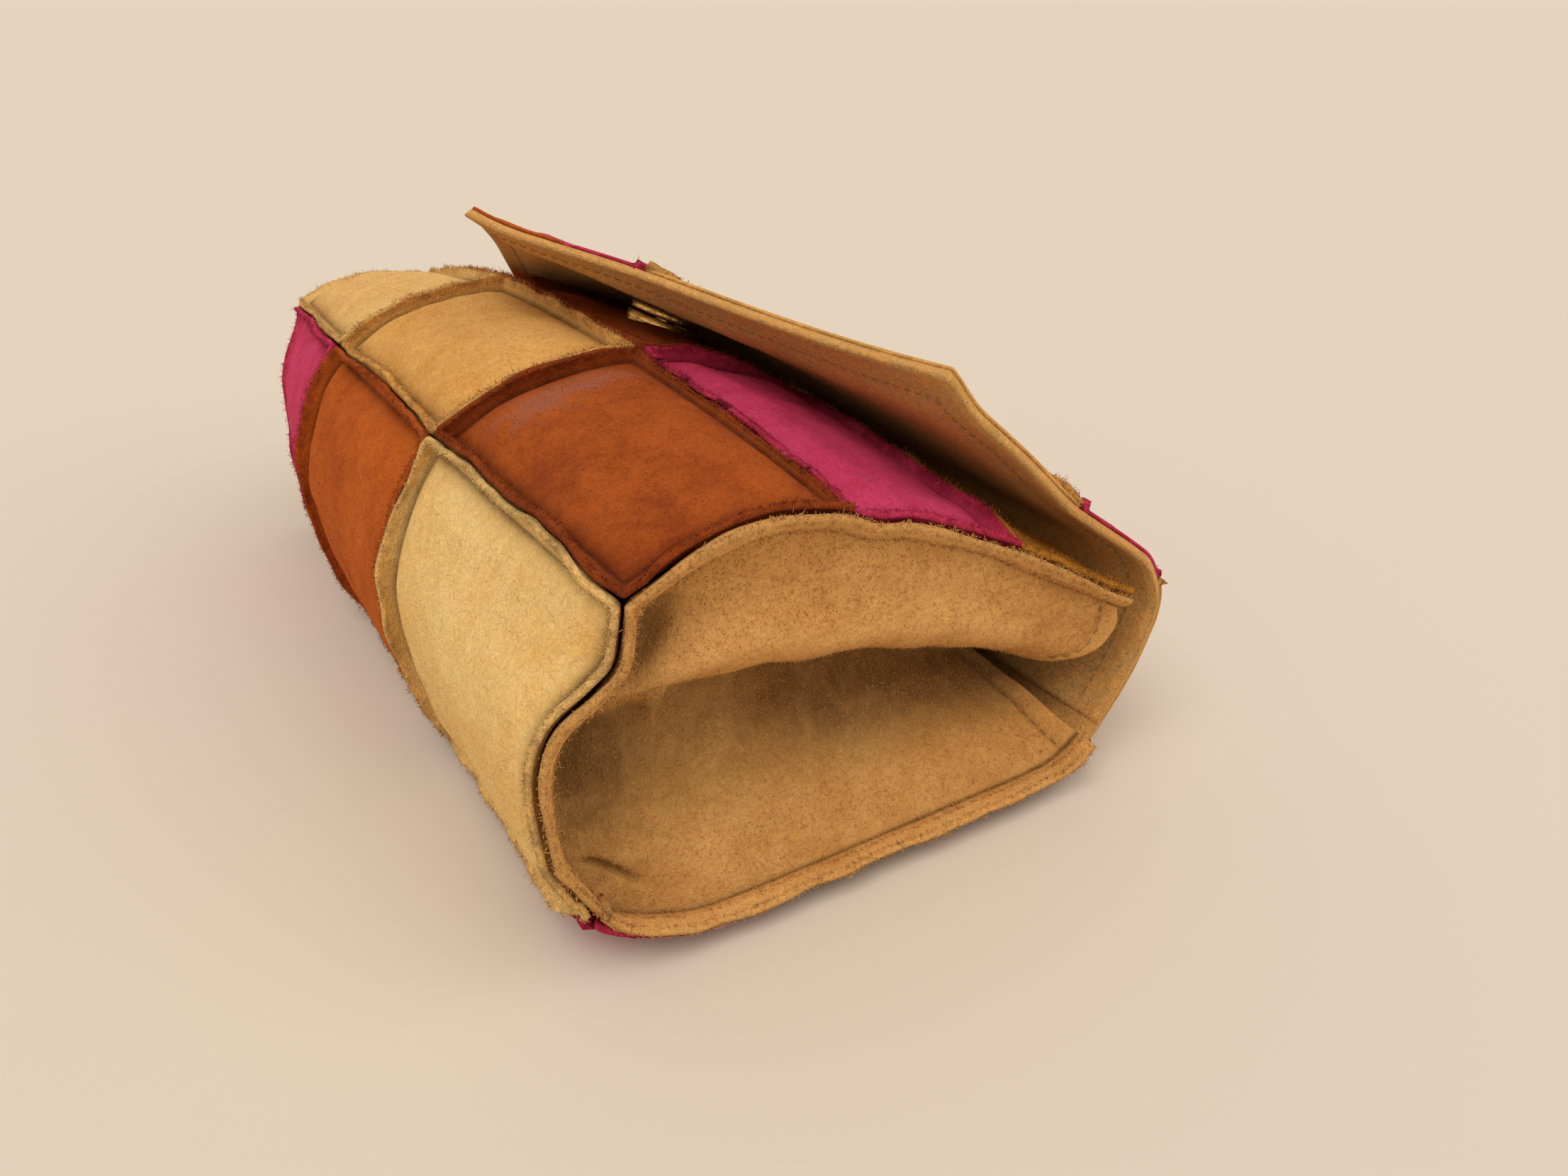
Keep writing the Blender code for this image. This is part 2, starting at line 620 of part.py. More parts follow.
def build_gusset(name, side):
    """One sheet sewn in at the bag's end, folded inward, its seam edge turned out as a rim."""
    spans_w, spans_t = GUSSET_SPANS

    def lip(panel, share, point):
        return point + end_lip_direction(panel, side, share) * END_BAND

    rows = []
    for i in range(spans_w + 1):
        w = i / spans_w
        rows.append([gusset_point(side, w, j / spans_t) for j in range(spans_t + 1)])
    w_shares = [i / spans_w for i in range(spans_w + 1)]
    turned = {
        "start": [lip("base", j / spans_t, rows[0][j]) for j in range(spans_t + 1)],
        "left": [lip("back", back_share(w), row[0]) for w, row in zip(w_shares, rows)],
        "right": [lip("front", front_share(w), row[-1]) for w, row in zip(w_shares, rows)],
    }
    piece = grid_sheet(name, rows, turned, SUEDE, "lining_tan")
    face_outward(piece, Vector((side, 0, 0)))
    return piece


def turned_piece(name, profile, finish, frame):
    """A solid turned about its Z axis from a closed or axis-to-axis profile of (radius, height)."""
    mesh = bpy.data.meshes.new(name)
    count = len(profile)
    on_axis = profile[0][0] == 0 and profile[-1][0] == 0
    edges = [(i, i + 1) for i in range(count - 1)]
    if not on_axis:
        edges.append((count - 1, 0))
    mesh.from_pydata([(radius, 0, height) for radius, height in profile], edges, [])
    piece = add_object(name, mesh, finish)
    piece.matrix_world = frame
    screw = piece.modifiers.new("turn", "SCREW")
    screw.steps = TURN_STEPS
    screw.render_steps = TURN_STEPS
    screw.use_merge_vertices = True
    screw.merge_threshold = MERGE
    return piece


def snap_frame():
    """Frame on the front panel's outer face under the snap: Z outward, Y towards the mouth."""
    spot, out, ahead = front_frame()
    side = ahead.cross(out)
    turn = Matrix((side, ahead, out)).transposed().to_4x4()
    return Matrix.Translation(spot) @ turn


def drill(piece, frame, radius, low, high):
    """Cuts a round hole through a sheet with a hidden cylinder."""
    mesh = bpy.data.meshes.new(f"cut_{piece.name}")
    built = bmesh.new()
    bmesh.ops.create_cone(built, cap_ends=True, segments=DRILL_SIDES, radius1=radius, radius2=radius,
                          depth=high - low)
    built.to_mesh(mesh)
    built.free()
    cutter = bpy.data.objects.new(f"cut_{piece.name}", mesh)
    CUTTERS.objects.link(cutter)
    cutter.matrix_world = frame @ Matrix.Translation((0, 0, (low + high) / 2))
    cutter.hide_render = True
    cutter.display_type = "WIRE"
    cut = piece.modifiers.new("hole", "BOOLEAN")
    cut.operation = "DIFFERENCE"
    cut.object = cutter


def build_snap():
    """Magnetic snap: cup and magnet on the front panel, stud on the flap's lining, a washer behind each."""
    frame = snap_frame()
    radius = SNAP_DIAMETER / 2
    post = POST_DIAMETER / 2
    hole = post + GAP
    seat = GAP
    top = seat + SOCKET_HEIGHT
    floor = seat + CUP_FLOOR
    post_end = -SUEDE - GAP - WASHER
    turned_piece("snap_socket", [
        (0, seat + CUP_RIVET), (post, seat + CUP_RIVET), (post, floor),
        (radius - RIM_WALL, floor), (radius - RIM_WALL, top), (radius - BEVEL, top),
        (radius, top - BEVEL), (radius, seat), (post, seat), (post, post_end), (0, post_end),
    ], "brass", frame)
    bore = STUB_DIAMETER / 2 + STUB_PLAY
    turned_piece("snap_magnet", [
        (bore, top - GAP), (radius - RIM_WALL - GAP, top - GAP),
        (radius - RIM_WALL - GAP, floor + GAP), (bore, floor + GAP),
    ], "magnet_grey", frame)
    turned_piece("snap_socket_washer", [
        (hole, -SUEDE - GAP), (WASHER_DIAMETER / 2, -SUEDE - GAP),
        (WASHER_DIAMETER / 2, post_end), (hole, post_end),
    ], "brass", frame)
    stud = top + GAP
    stud_top = stud + STUD_HEIGHT
    edge = radius - STUD_STEP
    lining_top = stud_top + GAP + LINING
    turned_piece("snap_stud", [
        (0, lining_top + GAP + WASHER), (post, lining_top + GAP + WASHER), (post, stud_top),
        (edge - BEVEL, stud_top), (edge, stud_top - BEVEL), (edge, stud + BEVEL),
        (edge - BEVEL, stud), (STUB_DIAMETER / 2, stud), (STUB_DIAMETER / 2, stud - STUB_LENGTH),
        (0, stud - STUB_LENGTH),
    ], "brass", frame)
    turned_piece("snap_stud_washer", [
        (hole, lining_top + GAP + WASHER), (WASHER_DIAMETER / 2, lining_top + GAP + WASHER),
        (WASHER_DIAMETER / 2, lining_top + GAP), (hole, lining_top + GAP),
    ], "brass", frame)
    drill(bpy.data.objects["front_row_2_middle"], frame, hole, -SUEDE - DRILL_REACH, DRILL_REACH)
    drill(bpy.data.objects["flap_lining"], frame, hole, stud_top - DRILL_REACH, lining_top + DRILL_REACH)


for old in list(bpy.data.objects):
    bpy.data.objects.remove(old)
PARTS = collection("suede_flap_bag")
CUTTERS = collection("cutters")
build_body_patches()
build_flap_patches()
build_body_lining()
build_flap_lining()
build_gusset("gusset_near", 1)
build_gusset("gusset_far", -1)
build_snap()
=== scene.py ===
"""Suede patchwork flap bag, lying on its back panel with the flap snapped over its front."""

import math

import bpy
import numpy as np
from mathutils import Matrix, Vector


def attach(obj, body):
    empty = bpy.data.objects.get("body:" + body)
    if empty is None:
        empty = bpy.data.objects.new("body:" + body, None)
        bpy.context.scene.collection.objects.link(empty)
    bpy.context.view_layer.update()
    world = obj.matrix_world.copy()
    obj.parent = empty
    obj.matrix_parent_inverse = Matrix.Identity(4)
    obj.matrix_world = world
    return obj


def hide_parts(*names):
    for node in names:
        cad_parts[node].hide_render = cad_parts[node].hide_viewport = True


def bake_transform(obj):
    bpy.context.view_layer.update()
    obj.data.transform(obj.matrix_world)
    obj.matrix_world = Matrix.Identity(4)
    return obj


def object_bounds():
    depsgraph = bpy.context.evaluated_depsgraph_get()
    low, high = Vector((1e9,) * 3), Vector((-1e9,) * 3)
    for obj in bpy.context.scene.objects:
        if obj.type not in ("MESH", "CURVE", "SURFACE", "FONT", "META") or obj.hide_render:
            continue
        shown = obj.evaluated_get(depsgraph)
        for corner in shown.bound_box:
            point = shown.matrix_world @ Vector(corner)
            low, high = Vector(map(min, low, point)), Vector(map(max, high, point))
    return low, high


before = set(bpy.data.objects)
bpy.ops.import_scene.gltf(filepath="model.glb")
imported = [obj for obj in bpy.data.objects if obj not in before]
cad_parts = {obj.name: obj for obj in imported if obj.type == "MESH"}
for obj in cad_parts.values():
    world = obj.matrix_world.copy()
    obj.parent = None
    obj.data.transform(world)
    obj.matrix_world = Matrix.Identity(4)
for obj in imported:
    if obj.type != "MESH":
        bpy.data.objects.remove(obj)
cad_low, cad_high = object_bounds()

MM = 0.001

# Driving dimensions, in metres
COLUMN_WIDTH = 0.0645
DEPTH = 0.091
HEIGHT = 0.060
SUEDE = 0.0011
LINING = 0.0010
LINING_CLEARANCE = 0.0012
GAP = 0.0003
GUSSET_GAP = 0.0006
RIDGE = 0.0029
BACK_RIDGE = 0.0020
FLAP_RIDGE = 0.0019
MOUTH_TAPER = 0.012
SEAM_TAPER = 0.005
END_BAND = 0.0034
BACK_BAND = 0.0018
HINGE_ROW = 0.032
FLAP_ROW = 0.028
TIP_SEAM = 0.1175
FLAP_TIP = 0.1290
FLAP_SIDES = (0.078, 0.099)
POINT_POWERS = (1.3, 2.4)
POINT_ROUND = 0.035
SIDE_POWERS = (1.25, 1.4)
FLAP_FLAT = 0.1
LINING_SETBACK = 0.0022
LINING_END = 0.0085
HEM_SETBACK = 0.0035
HINGE_SETBACK = 0.0016
HINGE_LEAST = 0.35
HINGE_GAP = 0.0009
SNAP_DIAMETER = 0.0152
SOCKET_HEIGHT = 0.0027
STUD_HEIGHT = 0.0016
STUB_DIAMETER = 0.0042
STUB_LENGTH = 0.0010
FRONT_SEAMS = (0.0, 0.36, 0.695, 1.0)
BACK_SEAMS = (0.0, 0.33, 0.66, 1.0)
SNAP_AT = 0.566
MIDDLE = 0.475
CORNER_PULL = 0.035
FAR_PULL = 0.045
FAR_TUCK = 0.0025
FLAP_CURL = 0.0015
END_POWER = 2.2
HALF_LENGTH = 1.5 * COLUMN_WIDTH
END_LEAN = math.radians(45)
COLUMNS = ("far", "middle", "near")
SIDES = ("left", "right", "start", "finish")
INSET = SUEDE + GAP / 2

# Powers with which the drawn-in far corners fade along each panel
BACK_FADE = 8
BASE_FADE = 3
FRONT_FADE = 2
# The tuck of the far base: where it starts along the bag, and over which share it grows
TUCK_FROM = 0.3
TUCK_SPAN = 0.5
# Directions are read no nearer the ends than this, with these steps
U_LIMIT = 0.98
PANEL_STEPS = (0.01, 0.012)
NORMAL_LIMITS = (0.014, 0.986)
LEAN_LIMITS = (0.02, 0.98)
FLAP_STEPS = (0.012, 0.001)
SNAP_STEP = 0.03
# Distances from the flap's edge between which it curls
CURL_FROM = 26 * MM
CURL_TO = 9 * MM

# Outlines across the bag, as shares of its depth and height
FLAP_SEAM = (0.972, 0.103)
BACK_NEAR = [FLAP_SEAM, (0.896, 0.024), (0.79, 0), (0.55, 0), (0.33, 0), (0.13, 0), (0.033, 0.034),
             (-0.05, 0.09), (-0.088, 0.155)]
BACK_MIDDLE = [FLAP_SEAM, (0.896, 0.021), (0.79, 0), (0.55, 0), (0.33, 0), (0.11, 0), (0.033, 0.005),
               (-0.01, 0.016), (-0.044, 0.034)]
BACK_FAR = [FLAP_SEAM, (0.896, 0.024), (0.79, 0), (0.55, 0), (0.33, 0), (0.12, 0), (0.045, 0.012),
            (-0.01, 0.045), (-0.042, 0.1)]
BASE_NEAR = [BACK_NEAR[-1], (-0.115, 0.293), (-0.133, 0.397), (-0.143, 0.534), (-0.137, 0.655),
             (-0.11, 0.741), (-0.055, 0.80), (-0.016, 0.853), (-0.005, 0.931), (0.0, 1.0)]
BASE_MIDDLE = [BACK_MIDDLE[-1], (-0.088, 0.17), (-0.122, 0.379), (-0.134, 0.552), (-0.13, 0.655),
               (-0.112, 0.759), (-0.08, 0.879), (-0.045, 0.957), (-0.011, 1.009)]
BASE_FAR = [BACK_FAR[-1], (-0.06, 0.25), (-0.065, 0.39), (-0.067, 0.53), (-0.058, 0.65), (-0.036, 0.735),
            (-0.005, 0.80), (0.018, 0.85), (0.03, 0.90), (0.036, 0.94)]
FRONT_NEAR = [BASE_NEAR[-1], (0.055, 1.034), (0.11, 1.066), (0.22, 1.097), (0.33, 1.074), (0.41, 1.022),
              (0.484, 0.991), (0.642, 0.891), (0.736, 0.805), (0.879, 0.681), (1.0, 0.578)]
FRONT_MIDDLE = [BASE_MIDDLE[-1], (0.088, 1.095), (0.187, 1.138), (0.308, 1.164), (0.418, 1.155),
                (0.527, 1.103), (0.637, 1.02), (0.769, 0.88), (0.879, 0.74), (0.989, 0.6)]
FRONT_FAR = [BASE_FAR[-1], (0.08, 0.975), (0.13, 1.0), (0.22, 1.018), (0.33, 0.995), (0.41, 0.95),
             (0.484, 0.905), (0.642, 0.81), (0.736, 0.745), (0.879, 0.65), (1.0, 0.575)]
FLAP_NEAR = [FLAP_SEAM, (1.022, 0.198), (1.062, 0.29), (1.09, 0.384), (1.108, 0.466), (1.106, 0.552),
             (1.068, 0.666), (1.012, 0.741), (0.902, 0.862), (0.84, 0.934), (0.735, 1.088), (0.616, 1.266),
             (0.532, 1.397)]
FLAP_KNEE = [FLAP_SEAM, (1.02, 0.198), (1.066, 0.328), (1.086, 0.474), (1.066, 0.612), (1.01, 0.759),
             (0.93, 0.88), (0.85, 0.985)]
FLAP_POINT = [(0.4725, 1.328), (0.385, 1.408), (0.30, 1.468), (0.225, 1.522), (0.17, 1.60)]
FLAP_FAR = [FLAP_SEAM, (1.045, 0.2), (1.085, 0.33), (1.1, 0.46), (1.085, 0.6), (1.03, 0.71), (0.94, 0.80),
            (0.83, 0.87), (0.72, 0.915), (0.64, 0.93)]

# Suede colours as linear light: face, worn or brushed tone, raw edge
SUEDES = {
    "suede_cream": ((0.90, 0.60, 0.23), (0.84, 0.49, 0.155), (0.48, 0.28, 0.10)),
    "suede_tan": ((0.80, 0.43, 0.125), (0.70, 0.33, 0.08), (0.42, 0.20, 0.055)),
    "suede_pale": ((0.86, 0.53, 0.19), (0.76, 0.42, 0.13), (0.46, 0.25, 0.085)),
    "suede_rust": ((0.42, 0.088, 0.013), (0.28, 0.048, 0.008), (0.16, 0.028, 0.006)),
    "suede_brown": ((0.56, 0.125, 0.015), (0.42, 0.080, 0.010), (0.24, 0.045, 0.010)),
    "suede_pink": ((0.66, 0.060, 0.155), (0.56, 0.036, 0.095), (0.32, 0.014, 0.030)),
    "suede_ochre": ((0.58, 0.26, 0.026), (0.44, 0.17, 0.016), (0.32, 0.12, 0.016)),
    "lining_tan": ((0.76, 0.40, 0.125), (0.64, 0.30, 0.080), (0.56, 0.31, 0.105)),
}
PATCHWORK = {
    "base_patch": ("suede_pink", "suede_brown", "suede_cream"),
    "front_row_1": ("suede_pale", "suede_tan", "suede_rust"),
    "front_row_2": ("suede_brown", "suede_rust", "suede_pink"),
    "front_row_3": ("suede_tan", "suede_pale", "suede_ochre"),
    "back_row_1": ("suede_rust", "suede_tan", "suede_pink"),
    "back_row_2": ("suede_tan", "suede_pink", "suede_ochre"),
    "back_row_3": ("suede_pink", "suede_pale", "suede_brown"),
    "hinge_row": ("suede_brown", "suede_pink", "suede_tan"),
    "flap_row_1": ("suede_tan", "suede_brown", "suede_pink"),
    "flap_row_2": ("suede_rust", "suede_pink", "suede_tan"),
    "flap_tip": ("suede_brown",),
}


def unit(v):
    return v / np.maximum(np.linalg.norm(v, axis=-1, keepdims=True), 1e-12)


def smooth(x):
    x = np.clip(x, 0.0, 1.0)
    return x * x * (3 - 2 * x)


def hump(x, centre, reach):
    """1 at the centre, 0 beyond the reach."""
    return smooth(1 - np.abs(x - centre) / reach)


def wobble(points, size, seed, count=9):
    """Smooth unevenness with features of about this size, mostly within -1 to 1."""
    draw = np.random.default_rng(seed)
    ways = unit(draw.normal(size=(count, 3))) * (2 * math.pi / size) * draw.uniform(0.5, 1.3, (count, 1))
    shift = draw.uniform(0, 2 * math.pi, count)
    return np.sin(points @ ways.T + shift).sum(-1) / math.sqrt(count)


def run_along(line):
    """Distance from the start of a line to each of its points."""
    return np.concatenate([[0], np.cumsum(np.linalg.norm(np.diff(line, axis=0), axis=1))])


def read_along(distance, run, values):
    """What is given along a line, read at these distances."""
    return np.stack([np.interp(distance, run, column) for column in values.T], -1)


class Path:
    """A smooth line through points, read by the distance run along it, straight past both ends."""

    def __init__(self, points, steps=24, past=0.05):
        points = np.array(points, float)
        ends = np.vstack([2 * points[0] - points[1], points, 2 * points[-1] - points[-2]])
        t = (np.arange(steps) / steps)[:, None]
        line = [0.5 * (2 * b + (c - a) * t + (2 * a - 5 * b + 4 * c - d) * t * t
                       + (3 * b - a - 3 * c + d) * t ** 3)
                for a, b, c, d in zip(ends, ends[1:], ends[2:], ends[3:])]
        line = np.vstack(line + [points[-1:]])
        run = run_along(line)
        self.length = run[-1]
        before = line[0] - unit(line[1] - line[0]) * past
        after = line[-1] + unit(line[-1] - line[-2]) * past
        self.line = np.vstack([before, line, after])
        self.run = np.concatenate([[-past], run, [run[-1] + past]])

    def at(self, distance):
        return read_along(distance, self.run, self.line)


def across(outline):
    return [(DEPTH * (y - MIDDLE), BACK_RIDGE + max(z, 0.0) * (HEIGHT - BACK_RIDGE)) for y, z in outline]


PANELS = {
    "back": [Path(across(outline)) for outline in (BACK_FAR, BACK_MIDDLE, BACK_NEAR)],
    "base": [Path(across(outline)) for outline in (BASE_FAR, BASE_MIDDLE, BASE_NEAR)],
    "front": [Path(across(outline)) for outline in (FRONT_FAR, FRONT_MIDDLE, FRONT_NEAR)],
}


def panel_point(panel, u, share):
    """The shell's outer face: u from -1 at the far end to 1 at the near end, share along the panel."""
    u, share = np.broadcast_arrays(np.asarray(u, float), np.asarray(share, float))
    far, middle, near = PANELS[panel]
    weight = (np.abs(u) ** END_POWER)[..., None]
    end = np.where((u > 0)[..., None], near.at(share * near.length), far.at(share * far.length))
    flat = middle.at(share * middle.length) * (1 - weight) + end * weight
    inside = np.clip(share, 0, 1)
    corner = {"back": inside ** BACK_FADE, "base": (1 - inside) ** BASE_FADE, "front": 0 * share}[panel]
    far_end = {"back": inside ** BACK_FADE, "base": 0 * share + 1, "front": (1 - inside) ** FRONT_FADE}[panel]
    x = u * HALF_LENGTH * (1 - CORNER_PULL * corner - FAR_PULL * far_end * np.clip(-u, 0, None) ** 2)
    tuck = 0
    if panel == "base":
        tuck = FAR_TUCK * smooth((-u - TUCK_FROM) / TUCK_SPAN) * np.sin(math.pi * inside)
    return np.stack([x, flat[..., 0] + tuck, np.maximum(flat[..., 1], BACK_RIDGE)], -1)


def panel_length(panel, u):
    far, middle, near = (path.length for path in PANELS[panel])
    return middle + (np.where(np.asarray(u) > 0, near, far) - middle) * np.abs(u) ** END_POWER


def slopes(place, u, v, du, dv):
    """Directions along the bag and onward over the panel."""
    along = unit(place(u + du, v) - place(u - du, v))
    onward = unit(place(u, v + dv) - place(u, v - dv))
    return along, onward


def panel_slopes(panel, u, share, low, high):
    return slopes(lambda a, b: panel_point(panel, a, b), np.clip(u, -U_LIMIT, U_LIMIT),
                  np.clip(share, low, high), *PANEL_STEPS)


def panel_normal(panel, u, share):
    return unit(np.cross(*panel_slopes(panel, u, share, *NORMAL_LIMITS)))


BESIDE = {("back", 1.0): ("base", 0.0), ("base", 0.0): ("back", 1.0),
          ("base", 1.0): ("front", 0.0), ("front", 0.0): ("base", 1.0)}


def seam_direction(panel, u, share):
    """The way a ridge stands: the normal, or half way between two panels' normals at their seam."""
    out = panel_normal(panel, u, share)
    for (here, at), (other, start) in BESIDE.items():
        if here == panel:
            close = (np.abs(share - at) < 1e-6)[..., None]
            out = np.where(close, unit(out + panel_normal(other, u, np.full_like(share, start))), out)
    return out


def end_lip_direction(panel, u, share):
    """The edges of the gusset seams lean outward from the bag's end, and lie flat along the back."""
    lean = {"back": 0 * share, "base": np.minimum(1.0, share * 4), "front": 0 * share + 1}[panel] * END_LEAN
    out = seam_direction(panel, u, share)
    side = np.stack([np.sign(u), 0 * u, 0 * u], -1)
    return unit(side * np.cos(lean)[..., None] + out * np.sin(lean)[..., None])


def front_frame():
    spot = panel_point("front", 0.0, SNAP_AT)
    before, after = (panel_point("front", 0.0, SNAP_AT + step) for step in (-SNAP_STEP, SNAP_STEP))
    ahead = unit(after - before)
    return spot, unit(np.cross((1, 0, 0), ahead)), ahead


def flap_middle():
    spot, out, ahead = front_frame()
    stack = SOCKET_HEIGHT + STUD_HEIGHT + 3 * GAP + LINING + LINING_CLEARANCE + SUEDE
    seat = [spot + out * stack + ahead * SNAP_DIAMETER * reach for reach in (0.7, 0.5, 0, -0.5, -0.7)]
    return Path(across(FLAP_KNEE) + [(p[1], p[2]) for p in seat] + across(FLAP_POINT))


FLAP_LINES = (Path(across(FLAP_FAR)), flap_middle(), Path(across(FLAP_NEAR)))


def flap_point(u, run):
    """The flap's outer face, run metres from its seam with the back."""
    u, run = np.broadcast_arrays(np.asarray(u, float), np.asarray(run, float))
    far, middle, near = (line.at(run) for line in FLAP_LINES)
    aside = np.clip(np.abs(u) - FLAP_FLAT, 0, None) / (1 - FLAP_FLAT)
    far_weight = (aside ** SIDE_POWERS[0] * (u < 0))[..., None]
    near_weight = (aside ** SIDE_POWERS[1] * (u > 0))[..., None]
    flat = middle + (near - middle) * near_weight + (far - middle) * far_weight
    gap = flap_edge(u) - run
    curl = FLAP_CURL * (smooth(gap / CURL_FROM) - smooth(gap / CURL_TO))
    return np.stack([u * HALF_LENGTH, flat[..., 0], flat[..., 1] + curl], -1)


def flap_edge(u):
    """Length of the flap at u: its sides sweep into a rounded point."""
    away = (np.hypot(u, POINT_ROUND) - POINT_ROUND) / (math.hypot(1, POINT_ROUND) - POINT_ROUND)
    left = np.clip(1 - away, 0, None)
    far, near = (side + (FLAP_TIP - side) * left ** power for side, power in zip(FLAP_SIDES, POINT_POWERS))
    return np.where(np.asarray(u) > 0, near, far)


def point_reach(near, length):
    """How far from the middle, on the near or far side, the flap is this long."""
    side = FLAP_SIDES[near]
    away = 1 - ((length - side) / (FLAP_TIP - side)) ** (1 / POINT_POWERS[near])
    reach = away * (math.hypot(1, POINT_ROUND) - POINT_ROUND) + POINT_ROUND
    return math.sqrt(reach ** 2 - POINT_ROUND ** 2)


def flap_slopes(u, run):
    return slopes(flap_point, np.clip(u, -U_LIMIT, U_LIMIT), np.maximum(run, 0.001), *FLAP_STEPS)


def flap_normal(u, run):
    return -unit(np.cross(*flap_slopes(u, run)))


def tube_faces(rings, sides, first=0):
    """Quads of a tube whose rings of points follow each other."""
    faces = []
    for k in range(rings - 1):
        for i in range(sides):
            a, b = first + k * sides + i, first + k * sides + (i + 1) % sides
            faces.append((a, b, b + sides, a + sides))
    return faces


def make(name, points, faces, finish, body, nodes=(), marks=None):
    """A mesh piece that rides on a body and stands for the named nodes."""
    mesh = bpy.data.meshes.new(name)
    mesh.from_pydata([tuple(p) for p in points], [], [tuple(f) for f in faces])
    mesh.validate()
    for label, values in (marks or {}).items():
        layer = mesh.attributes.new(label, "FLOAT", "POINT")
        layer.data.foreach_set("value", np.asarray(values, np.float32))
    mesh.materials.append(finish)
    mesh.polygons.foreach_set("use_smooth", [True] * len(mesh.polygons))
    piece = bpy.data.objects.new(name, mesh)
    bpy.context.scene.collection.objects.link(piece)
    if body:
        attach(piece, body)
    if nodes:
        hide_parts(*nodes)
    return piece


def grid_faces(rows, cols):
    index = np.arange(rows * cols).reshape(rows, cols)
    return np.stack([index[:-1, :-1], index[:-1, 1:], index[1:, 1:], index[1:, :-1]], -1).reshape(-1, 4)


def solid(name, points, faces, thickness, outward, marks, finish, body, nodes, probe=1):
    """Closes a sheet of quads: the same sheet again at its back, and walls round its edges.

    The first faces, as many as probe says, look outward on the whole.
    """
    points, faces = np.asarray(points, float), np.asarray(faces, int)
    corners = points[faces]
    flat = np.cross(corners[:, 2] - corners[:, 0], corners[:, 3] - corners[:, 1])
    if (flat[:probe] @ np.asarray(outward)).sum() < 0:
        faces, flat = faces[:, ::-1], -flat
    normals = np.zeros_like(points)
    for k in range(4):
        np.add.at(normals, faces[:, k], unit(flat))
    count = len(points)
    back = points - unit(normals) * thickness
    edges = np.vstack([faces[:, [0, 1]], faces[:, [1, 2]], faces[:, [2, 3]], faces[:, [3, 0]]])
    open_edge = ~np.isin(edges[:, 0] * count + edges[:, 1], edges[:, 1] * count + edges[:, 0])
    a, b = edges[open_edge].T
    walls = np.stack([b, a, a + count, b + count], 1)
    every = np.vstack([faces, faces[:, ::-1] + count, walls])
    both = {label: np.concatenate([values, np.full(count, {"raw": 1.0}.get(label, 0.0))])
            for label, values in marks.items()}
    return make(name, np.vstack([points, back]), every.tolist(), finish, body, nodes, both)


# Roots of the loose fibres on raw edges: (body, finish) -> list of (points, directions)
RAW_EDGES = {}


def keep_raw_edge(body, finish, spots, ways):
    RAW_EDGES.setdefault((body, finish.name), []).append((spots, ways))


def spikes(name, roots, ways, reach, thick, finish, body, raw, draw):
    """Thin closed three-sided spikes: tufts of nap, or loose fibres on a raw edge."""
    count = len(roots)
    one = unit(np.cross(ways, unit(draw.normal(size=(count, 3)))))
    two = np.cross(ways, one)
    ring = [roots + thick * (math.cos(turn) * one + math.sin(turn) * two)
            for turn in (0.0, 2 * math.pi / 3, 4 * math.pi / 3)]
    points = np.stack([*ring, roots + ways * reach], 1).reshape(-1, 3)
    start = 4 * np.arange(count)[:, None]
    faces = np.vstack([start + corners for corners in ((0, 2, 1), (0, 1, 3), (1, 2, 3), (2, 0, 3))])
    # The tip mark paints the tips lighter than the roots: partly the nap's paler tone, partly painted light
    # on tips whose unlit sides render dark.
    tip = np.tile([0.2, 0.2, 0.2, 2.2], count)
    marks = {"tip": tip, "raw": np.full(4 * count, raw), "crease": np.zeros(4 * count)}
    return make(name, points, faces, finish, body, (), marks)


def nap(name, grid, outward, per_mm2, reach, finish, body, seed):
    """Tufts of nap all over a grid of points, brushed this way and that."""
    draw = np.random.default_rng(seed)
    a, b, c, d = grid[:-1, :-1], grid[:-1, 1:], grid[1:, 1:], grid[1:, :-1]
    flat = np.cross(c - a, d - b)
    area = np.linalg.norm(flat, axis=-1).reshape(-1) / 2
    normals = unit(flat).reshape(-1, 3)
    if (normals @ np.asarray(outward)).sum() < 0:
        normals = -normals
    count = int(area.sum() / MM ** 2 * per_mm2)
    cell = draw.choice(len(area), count, p=area / area.sum())
    s, t = draw.random((2, count, 1))
    a, b, c, d = (corner.reshape(-1, 3)[cell] for corner in (a, b, c, d))
    roots = a * (1 - s) * (1 - t) + b * s * (1 - t) + c * s * t + d * (1 - s) * t
    brushed = np.stack([wobble(roots, 14 * MM, seed + k) for k in range(3)], -1)
    ways = unit(0.55 * normals[cell] + 0.30 * brushed + 0.38 * draw.normal(size=(count, 3)))
    ways = unit(ways + normals[cell] * np.maximum(0.12 - (ways * normals[cell]).sum(-1, keepdims=True), 0))
    height = (0.35 + 0.65 * draw.random((count, 1))) * reach
    thick = draw.uniform(0.06, 0.12, (count, 1)) * MM
    spikes(name, roots - normals[cell] * 0.05 * MM, ways, height, thick, finish, body, 0.0, draw)


PUFF_REACH = 0.14  # share of a patch's width over which its face rolls down to the seam
PUFF_POWER = 2.6
# SEAM_SHADE is the reach of the painted shade line beside a seam.
SEAM_SHADE = 1.1 * MM  # reach of the dark line beside a seam
FREE_EDGE = 2 * MM  # reach over which a face thins toward an edge without a ridge
FILLET = 0.0007
THIN_EDGE = 0.5  # share of its thickness that a flap patch keeps along the flap's edge
LEAN_POWER = 1.4
SEAM_BIAS = 0.3 * MM
BACK_CALM = 0.15  # how much of the lean the ridges below the bag keep
CROWNS = {"back": 0.0, "base": 1.5 * MM, "front": 1.6 * MM}
FLAP_CROWN = 0.35 * MM
BACK_STEP = 2.2 * MM
FACE_STEP = 1.2 * MM
PATCH_NAP = 0.4 * MM
